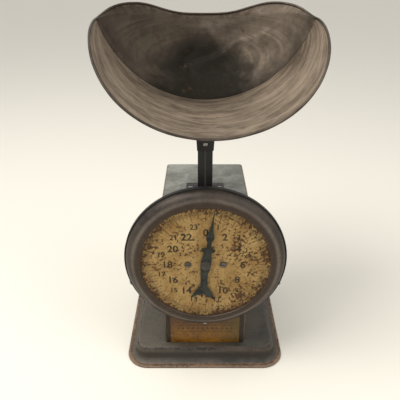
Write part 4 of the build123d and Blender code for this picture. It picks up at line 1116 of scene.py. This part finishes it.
pointer_steel = worn_enamel("pointer_steel", (0.008, 0.009, 0.007), (0.034, 0.038, 0.030),
                            rust=(0.045, 0.026, 0.014), bare=(0.10, 0.098, 0.08), cloud_scale=90.0,
                            rust_amount=0.30, spread=0.5, gloss=0.4)
pointer = make_pointer()
hub = make_hub()
hub_steel = worn_enamel("hub_steel", (0.030, 0.027, 0.022), (0.075, 0.066, 0.054),
                        rust=(0.060, 0.030, 0.016), bare=(0.14, 0.12, 0.10), cloud_scale=120.0,
                        rust_amount=0.36)
wear_finish(pointer, pointer_steel)
wear_finish(hub, hub_steel)
print("pointer:", len(pointer.data.polygons), "faces")

# %% [markdown]
# ## The scoop
# The scoop is two sheets of tin. The front sheet is part of a tube that lies along Y, cut so that its
# front rim runs level across the lip and then sweeps back up to the ears. The back sheet is half of a
# flattened dome, joined to the front one along a seam. Both are written down as formulas, with a wall
# given by moving each point out along the surface's own direction. The whole scoop sits a little off
# the middle and is turned by two degrees.

# %% The scoop's measures
SHEET = 0.8 * MM
SCOOP_RADIUS = 130.3 * MM
SCOOP_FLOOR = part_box("scoop_trough")[0].z + SHEET
SCOOP_AXIS = SCOOP_FLOOR + SCOOP_RADIUS
SCOOP_FRONT = -101.9 * MM
SCOOP_SEAM = 38.5 * MM
SCOOP_BULGE = 72.5 * MM
LIP_STRAIGHT = 8 * MM
SIDE_RISE = 93 * MM
EAR_RISE = 105 * MM
BACK_RISE = 91 * MM
SCOOP_TURN = math.radians(1.9)
SCOOP_SHIFT = 2.8 * MM
POST_Y = -8 * MM
# about how long each sheet is from its rim, and how far in from there it is rubbed
FRONT_LENGTH, BACK_LENGTH = 140 * MM, 100 * MM
RUBBED_EDGE = 4 * MM
# the two sheets meet along an arc of the tube: its reach round the tube and to each side
SEAM_TURN = math.acos((SCOOP_RADIUS - SIDE_RISE) / SCOOP_RADIUS)
SEAM_HALF = math.sqrt(SCOOP_RADIUS**2 - (SCOOP_RADIUS - SIDE_RISE) ** 2)


def closer_at_ends(count):
    """Values from -1 to 1 that crowd towards both ends, as the sine of even steps."""
    return np.sin(np.linspace(-np.pi / 2, np.pi / 2, count))


def in_place(points):
    """Shift a scoop point sideways, then turn it about the post."""
    x, y, z = points[..., 0] + SCOOP_SHIFT, points[..., 1] - POST_Y, points[..., 2]
    c, s = math.cos(SCOOP_TURN), math.sin(SCOOP_TURN)
    return np.stack([x * c - y * s, x * s + y * c + POST_Y, z], -1)


def front_rim_y(z):
    """How far forward the front sheet reaches at a height: level at the lip, then a quarter of an oval."""
    rise = np.clip((z - SCOOP_FLOOR - LIP_STRAIGHT) / (SIDE_RISE - LIP_STRAIGHT), 0, 1)
    return SCOOP_SEAM - (SCOOP_SEAM - SCOOP_FRONT) * np.sqrt(1 - rise**2)


def back_rim_z(x):
    """Height of the back sheet's rim: two ears and a dip between them, as a smooth curve."""
    rise = EAR_RISE - SIDE_RISE
    right = [(1, SIDE_RISE), (0.915, SIDE_RISE + rise * 0.62), (0.78, EAR_RISE),
             (0.6, EAR_RISE - rise * 0.08), (0.3, BACK_RISE + rise * 0.22), (0, BACK_RISE)]
    right = [(SEAM_HALF * share, height) for share, height in right]
    curve = smooth_curve(right + [(-a, b) for a, b in right[-2::-1]], 400)
    return SCOOP_FLOOR + np.interp(x, curve[::-1, 0], curve[::-1, 1])


def back_sheet_y(x, z, radius):
    """How far back a flattened dome of that radius lies: half an oval in depth over a circle."""
    reach = 1 - (x**2 + (z - SCOOP_AXIS) ** 2) / radius**2
    return SCOOP_SEAM + SCOOP_BULGE * np.sqrt(np.clip(reach, 0, 1))


def shell(inner, normal):
    """Rows of the inside followed by rows of the outside in reverse, which close into one wall."""
    outer = inner + normal * SHEET
    return np.concatenate([inner, outer[::-1]])

# %% [markdown]
# The front sheet's grid has its columns round the tube and its rows from the rim back to the seam. The
# finish needs to know which way the sheet was rubbed, so each point also stores its distance round
# the tube, its distance from the rim and its height.

# %% The front sheet
def scoop_place(points):
    """Undo in_place: back from where the scoop stands to its own middle line."""
    c, s = math.cos(SCOOP_TURN), math.sin(SCOOP_TURN)
    x, y = points[:, 0], points[:, 1] - POST_Y
    return np.column_stack([x * c + y * s - SCOOP_SHIFT, -x * s + y * c + POST_Y, points[:, 2]])


def trough_sheet(points):
    """Distance round the tube, distance back from the lip, and height, for the finish."""
    own = scoop_place(points)
    round_tube = np.arctan2(own[:, 0], SCOOP_AXIS - own[:, 2]) * SCOOP_RADIUS
    return np.column_stack([round_tube, own[:, 1] - front_rim_y(own[:, 2]), own[:, 2] - SCOOP_FLOOR])


def store_sheet(piece):
    """Keep each point's trough_sheet values with a piece, for its finish to read. Called after merging."""
    flat = np.empty(len(piece.data.vertices) * 3)
    piece.data.vertices.foreach_get("co", flat)
    layer = piece.data.attributes.new("sheet", "FLOAT_VECTOR", "POINT")
    layer.data.foreach_set("vector", trough_sheet(flat.reshape(-1, 3)).astype(np.float32).ravel())


def make_front_sheet():
    """Part of a tube along Y: a turn about its line and a share of the way from the rim to the seam."""
    turn = SEAM_TURN * closer_at_ends(181)
    x = SCOOP_RADIUS * np.sin(turn)
    z = SCOOP_AXIS - SCOOP_RADIUS * np.cos(turn)
    share = np.linspace(0, 1, 60)[:, None]
    y = front_rim_y(z) + (SCOOP_SEAM - front_rim_y(z)) * share
    inner = np.stack([np.broadcast_to(x, y.shape), y, np.broadcast_to(z, y.shape)], -1)
    normal = np.stack([np.sin(turn), 0 * turn, -np.cos(turn)], -1)
    # hand-beaten hollows, gone at the rim and the seam
    calm = smoothstep(0, 0.12, share) * smoothstep(1, 0.88, share)
    beaten = 0.35 * MM * calm * ripple(inner[..., 0], inner[..., 1], inner[..., 2], 0.045, 41)
    inner += normal * beaten[..., None]
    grid = in_place(shell(inner, np.broadcast_to(normal, inner.shape)))
    rim = gauss(share * FRONT_LENGTH, RUBBED_EDGE) * 0.7
    wear = np.concatenate([rim, rim[::-1]])
    sheet = outward(surface("scoop_front_sheet", grid, wrap_rows=True, wear=wear))
    store_sheet(sheet)
    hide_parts("scoop_trough")
    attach(sheet, "scoop")
    return sheet


front_sheet = make_front_sheet()
print("front sheet:", len(front_sheet.data.polygons), "faces")

# %% [markdown]
# The back sheet carries a story: something heavy once hit it, and a crease runs from a star-shaped
# dent up to the right rim. The crease is a curve, and its push on the sheet depends on the distance
# above or below that curve: in on one side and out on the other, which is what makes a hard line of
# light. The dent is a bell-shaped swelling towards the back with a few radial folds. The sheet is first
# set inwards to make room for them, and what would still stand out past the dome is cut level with it.

# %% The back sheet
CREASE = [(-21, 36), (13, 42), (26, 49), (45, 61), (64, 66), (72, 70), (87, 80), (108, 96)]
STAR = (-21, 36)
DENT_ROOM = 2.8 * MM


def crease_push(x, rise):
    """Push on the sheet, in millimetres, at a place seen from the front (x and rise in millimetres)."""
    curve = smooth_curve(CREASE, 120)
    line = np.interp(x, curve[:, 0], curve[:, 1])
    off = rise - line
    along = smoothstep(-30, -14, x) * (0.25 * smoothstep(106, 66, x) + 0.75 * smoothstep(44, 22, x))
    fold = 2.3 * along * np.tanh(off / 2.2) * gauss(off, 13)
    star_x, star_z = x - STAR[0], rise - STAR[1]
    reach = np.hypot(star_x, star_z)
    heading = np.arctan2(star_z, star_x)
    folds = 0.9 * gauss(reach, 20) * np.cos(5 * heading + 0.6) * smoothstep(0, 9, reach)
    dent = 3.2 * gauss(reach, 13) + folds
    second = 0.4 * np.tanh((rise - 78 - 0.35 * x) / 4) * gauss(x - 62, 34) * gauss(rise - 96, 17)
    return fold + dent + second


def make_back_sheet():
    """Half a flattened dome over the seam's arc: a place across and a share of the way up to the rim."""
    x = SEAM_HALF * closer_at_ends(221)
    low = SCOOP_AXIS - np.sqrt(SCOOP_RADIUS**2 - x**2)
    share = np.linspace(0, 1, 110)[:, None]
    z = low + (back_rim_z(x) - low) * share**2
    y = back_sheet_y(x, z, SCOOP_RADIUS)
    x = np.broadcast_to(x, z.shape)
    # the dome's own direction: each distance from its middle over its half-size squared
    across, up = x / SCOOP_RADIUS**2, (z - SCOOP_AXIS) / SCOOP_RADIUS**2
    normal = np.stack([across, (y - SCOOP_SEAM) / SCOOP_BULGE**2, up], -1)
    normal /= np.linalg.norm(normal, axis=-1, keepdims=True)
    calm = smoothstep(0, 0.25, share) * smoothstep(1, 0.9, share)
    push = crease_push(x * 1000, (z - SCOOP_FLOOR) * 1000) * MM
    push = push - 0.25 * MM * ripple(x, y, z, 0.05, 43) - DENT_ROOM
    inner = np.stack([x, y, z], -1) + normal * (np.minimum(push, 0) * calm)[..., None]
    grid = in_place(shell(inner, normal))
    rim = gauss((1 - share) * BACK_LENGTH, RUBBED_EDGE) * 0.7
    wear = np.concatenate([rim, rim[::-1]])
    sheet = outward(surface("scoop_back_sheet", grid, wrap_rows=True, wear=wear))
    store_sheet(sheet)
    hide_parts("scoop_back")
    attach(sheet, "scoop")
    return sheet


back_sheet = make_back_sheet()
print("back sheet:", len(back_sheet.data.polygons), "faces")

# %% [markdown]
# The edge of both sheets is rolled over a wire. That bead is a tube along the rim. At each point of
# the rim the tube needs two directions across it: we take the direction of travel, and one fixed
# direction that is never along it, and make the third from those two.

# %% The rolled rim
BEAD = 1.38 * MM
NEVER_ALONG = np.array([0.0, 0.45, 0.89])


def rim_line(count):
    """The whole rim as one closed loop: the front sheet's edge, then the back sheet's edge."""
    middle = SCOOP_RADIUS + SHEET / 2
    turn = SEAM_TURN * closer_at_ends(count)
    z = SCOOP_AXIS - middle * np.cos(turn)
    front = np.stack([middle * np.sin(turn), front_rim_y(z), z], -1)
    x = -SEAM_HALF * closer_at_ends(count)[1:-1]
    z = back_rim_z(x)
    return np.concatenate([front, np.stack([x, back_sheet_y(x, z, middle), z], -1)])


def even_loop(points, count):
    """Resample a closed loop at even spacing, after a light smoothing of its corners."""
    loop = np.concatenate([points, points[:1]])
    for _ in range(6):
        middle = (np.roll(loop[:-1], 1, 0) + 2 * loop[:-1] + np.roll(loop[:-1], -1, 0)) / 4
        loop = np.concatenate([middle, middle[:1]])
    length = np.concatenate([[0], np.cumsum(np.linalg.norm(np.diff(loop, axis=0), axis=1))])
    where = np.linspace(0, length[-1], count, endpoint=False)
    return np.stack([np.interp(where, length, loop[:, i]) for i in range(3)], -1)


def tube_loop(line, radius, sides):
    """A closed tube round a closed line: at each point a circle across the way the line travels."""
    travel = np.roll(line, -1, 0) - np.roll(line, 1, 0)
    travel /= np.linalg.norm(travel, axis=1, keepdims=True)
    across = np.cross(travel, NEVER_ALONG)
    across /= np.linalg.norm(across, axis=1, keepdims=True)
    up = np.cross(across, travel)
    turn = np.linspace(0, 2 * np.pi, sides, endpoint=False)[None, :, None]
    radius = radius.reshape(-1, 1, 1)
    return line[:, None] + radius * (np.cos(turn) * across[:, None] + np.sin(turn) * up[:, None])


def make_rim():
    """The bead: a tube of slightly uneven thickness along the whole rim."""
    line = even_loop(rim_line(400), 720)
    size = BEAD * (1 + 0.06 * ripple(line[:, 0], line[:, 1], line[:, 2], 0.03, 47))
    grid = in_place(tube_loop(line, size, sides=12))
    rim = surface("scoop_rolled_rim", grid, wrap_rows=True, wrap_cols=True, wear=0.35)
    outward(rim)
    store_sheet(rim)
    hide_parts("scoop_rim_wire")
    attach(rim, "scoop")
    return rim


rim = make_rim()
print("rim:", len(rim.data.polygons), "faces")

# %% [markdown]
# ## Tarnished tin
# The same tin looks different on each sheet. The front one is rubbed bright by use, with streaks that run
# round the tube, and its paler colours are partly painted light, with painted shade towards the seam. The
# back one has darker colours, partly as painted shade, is nearly black with painted shade in its hollow, and
# carries rust.
# Both sheets and the rolled rim use one function with different colours and strengths.

# %% Tin
# the painted shade in the hollow is a dark oval on the sheet: its middle and its half-sizes
HOLLOW_SHADE_ACROSS, HOLLOW_SHADE_HALF_WIDTH = -5 * MM, 92 * MM
HOLLOW_SHADE_UP, HOLLOW_SHADE_HALF_HEIGHT = 12 * MM, 62 * MM
HOLLOW_SHADE_COLOUR = (0.010, 0.0085, 0.0055)


def tin(name, pale, dark, streaks, hollow):
    """Tinned steel. streaks is how strongly it is brushed, hollow how much painted shade it carries in the
    hollow and towards the left, with more rust and a duller surface.
    """
    finish = Finish(name)
    sheet = add(finish.tree, "ShaderNodeAttribute", attribute_name="sheet").outputs["Vector"]
    split = add(finish.tree, "ShaderNodeSeparateXYZ")
    feed(finish.tree, split.inputs[0], sheet)
    round_tube, from_rim, height = split.outputs
    # streaks run round the tube and follow the lip, so the height plays no part in them
    flat = add(finish.tree, "ShaderNodeCombineXYZ")
    feed(finish.tree, flat.inputs[0], round_tube)
    feed(finish.tree, flat.inputs[1], from_rim)
    sheet = flat.outputs[0]
    along = finish.effect("brushed", where=sheet, Scale=13.0, Stretch=5.0)
    hair = finish.effect("brushed", where=sheet, Scale=45.0, Stretch=7.0)
    clouds = finish.effect("clouds", Scale=17.0, Contrast=0.14)
    fine = finish.effect("clouds", Scale=130.0, Contrast=0.2)
    brushed = finish.plus(finish.times(along, 0.6), finish.times(hair, 0.4))
    brushed = finish.band(brushed, 0.41, 0.60)
    colour = finish.mix(finish.plus(finish.times(brushed, streaks),
                                     finish.times(clouds, 1 - streaks)), dark, pale)
    # painted shade: a dark oval deep in the hollow, as strong as hollow says
    across = finish.times(finish.minus(round_tube, HOLLOW_SHADE_ACROSS), 1 / HOLLOW_SHADE_HALF_WIDTH)
    up = finish.times(finish.minus(height, HOLLOW_SHADE_UP), 1 / HOLLOW_SHADE_HALF_HEIGHT)
    away = finish.plus(finish.times(across, across), finish.times(up, up))
    away = finish.plus(away, finish.times(finish.minus(clouds, 0.5), 0.35))
    hollow_shade = finish.times(finish.fade(away, 0.15, 1.2), hollow)
    # painted shade: the front sheet is darker where it runs down to the seam
    middle = finish.fade(finish.size_of(finish.plus(round_tube, 20 * MM)), 30 * MM, 120 * MM)
    seam = finish.times(finish.band(from_rim, 70 * MM, 135 * MM, 0.0, 0.6 * streaks), middle)
    colour = finish.mix(seam, colour, darker(dark, 0.45))
    # painted shade: the sheet is darker towards its left side, as strong as hollow says
    shade = finish.band(round_tube, -115 * MM, 50 * MM, 0.55 * hollow, 0.0)
    colour = finish.mix(shade, colour, darker(dark, 0.6))
    colour = finish.mix(hollow_shade, colour, HOLLOW_SHADE_COLOUR)
    rust = finish.effect("freckles", Scale=70.0, Amount=0.42)
    colour = finish.veil(colour, (0.050, 0.028, 0.014), rust, 0.30 + 0.25 * hollow)
    colour = finish.veil(colour, darker(dark, 0.5), fine, 0.18)
    rubbed = finish.effect("rubbed", Wear=finish.attribute("wear"), Scale=150.0, Spread=0.5)
    colour = finish.veil(colour, pale, rubbed, 0.35)
    rough = finish.plus(finish.band(brushed, 0.0, 1.0, 0.54, 0.44), 0.12 * hollow)
    finish.set(Base_Color=colour, Roughness=rough, Metallic=finish.band(hollow_shade, 0.0, 1.0, 0.55, 0.1))
    finish.shine(0.35 - 0.25 * hollow)
    grain = finish.times(brushed, 0.5 * streaks + 0.1)
    finish.bump(finish.plus(grain, fine), 0.25, 0.3 * MM)
    return finish.material


# one tin, lit and shaded: the front sheet's paler colours are partly painted light on top of its rubbed
# brightness, and the back sheet's darker colours are partly painted shade on top of its tarnish
front_tin = tin("tin_front", (0.44, 0.345, 0.250), (0.120, 0.088, 0.060), streaks=0.68, hollow=0.10)
back_tin = tin("tin_back", (0.150, 0.119, 0.090), (0.060, 0.046, 0.033), streaks=0.2, hollow=1.0)
rim_tin = tin("tin_rim", (0.105, 0.082, 0.062), (0.030, 0.023, 0.017), streaks=0.5, hollow=0.0)
wear_finish(front_sheet, front_tin)
wear_finish(back_sheet, back_tin)
wear_finish(rim, rim_tin)
print("tin finished")

# %% [markdown]
# ## Everything else
# The pieces that keep their CAD shape take a finish by the slot that the record gives them. The post, its
# seat and the pan are black enamel. The scoop's foot and strap are plain tin, and the working parts
# inside are steel and brass.

# %% Plain metals
def plain_metal(name, colour, dark, roughness, rust_amount=0.25):
    """Machined or drawn metal with a soft grain, faint clouds and a few rust specks."""
    finish = Finish(name, metallic=0.9)
    grain = finish.effect("brushed", Scale=70.0, Stretch=9.0)
    clouds = finish.effect("clouds", Scale=60.0, Contrast=0.2)
    shade = finish.mix(finish.band(grain, 0.35, 0.65), dark, colour)
    shade = finish.veil(shade, dark, clouds, 0.35)
    rust = finish.effect("freckles", Scale=380.0, Amount=rust_amount)
    shade = finish.veil(shade, (0.13, 0.062, 0.03), rust, 0.7)
    rough = finish.band(grain, 0.35, 0.65, roughness + 0.06, roughness - 0.04)
    finish.set(Base_Color=shade, Roughness=rough)
    finish.bump(finish.plus(grain, rust), 0.25, 0.2 * MM)
    return finish.material


def black_japan():
    """Glossy black enamel on the post and its seat, with a grey painted highlight down the front edge where
    the post's two faces meet, broken up by noise.
    """
    finish = Finish("post_enamel")
    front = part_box("post")[0].y
    clouds = finish.effect("clouds", Scale=45.0, Contrast=0.18)
    fine = finish.effect("clouds", Scale=300.0, Contrast=0.2)
    # painted highlight: grey down the front edge of the post, broken up by the rubbed effect's noise
    front_edge_highlight = finish.fade(finish.minus(finish.axis("Y"), front), 0.0, 2.2 * MM)
    rubbed = finish.effect("rubbed", Wear=front_edge_highlight, Scale=200.0, Spread=0.55)
    colour = finish.mix(clouds, (0.006, 0.006, 0.006), (0.016, 0.016, 0.015))
    colour = finish.veil(colour, (0.018, 0.015, 0.012), fine, 0.3)
    colour = finish.veil(colour, (0.075, 0.071, 0.066), rubbed, 0.5)
    finish.set(Base_Color=colour, Roughness=finish.band(clouds, 0.0, 1.0, 0.26, 0.42))
    finish.shine(0.15)
    finish.bump(fine, 0.3, 0.2 * MM)
    return finish.material


black_enamel = worn_enamel("black_enamel", (0.010, 0.009, 0.008), (0.026, 0.023, 0.019), cloud_scale=40.0,
                           rust_amount=0.34, gloss=0.34, use_wear=False)
FINISHES = {
    "pan_black": black_enamel,
    "black_steel": plain_metal("black_steel", (0.10, 0.095, 0.09), (0.035, 0.03, 0.028), 0.42, 0.4),
    "bright_steel": plain_metal("bright_steel", (0.50, 0.48, 0.45), (0.26, 0.24, 0.22), 0.33),
    "spring_steel": plain_metal("spring_steel", (0.30, 0.29, 0.28), (0.13, 0.12, 0.11), 0.36),
    "brass": plain_metal("brass", (0.62, 0.44, 0.17), (0.30, 0.19, 0.07), 0.34),
    "tin": plain_metal("tin_plain", (0.24, 0.215, 0.19), (0.11, 0.095, 0.08), 0.45, 0.4),
    "pointer_steel": plain_metal("dark_steel", (0.17, 0.165, 0.155), (0.07, 0.062, 0.055), 0.4),
}
FINISHED = {"base", "bezel", "dial_plate", "pointer", "pointer_hub", "scoop_trough", "scoop_back",
            "scoop_rim_wire", "name_band", "case_shell", "back_cover", "post", "post_saddle"}
for subpart in frame["record"]["subparts"]:
    if subpart["node"] not in FINISHED:
        paint_node(subpart["node"], FINISHES[subpart["material_slot"]])
post_enamel = black_japan()
for node in ("post", "post_saddle"):
    paint_node(node, post_enamel)
print("every one of the", len(nodes), "nodes has its finish")
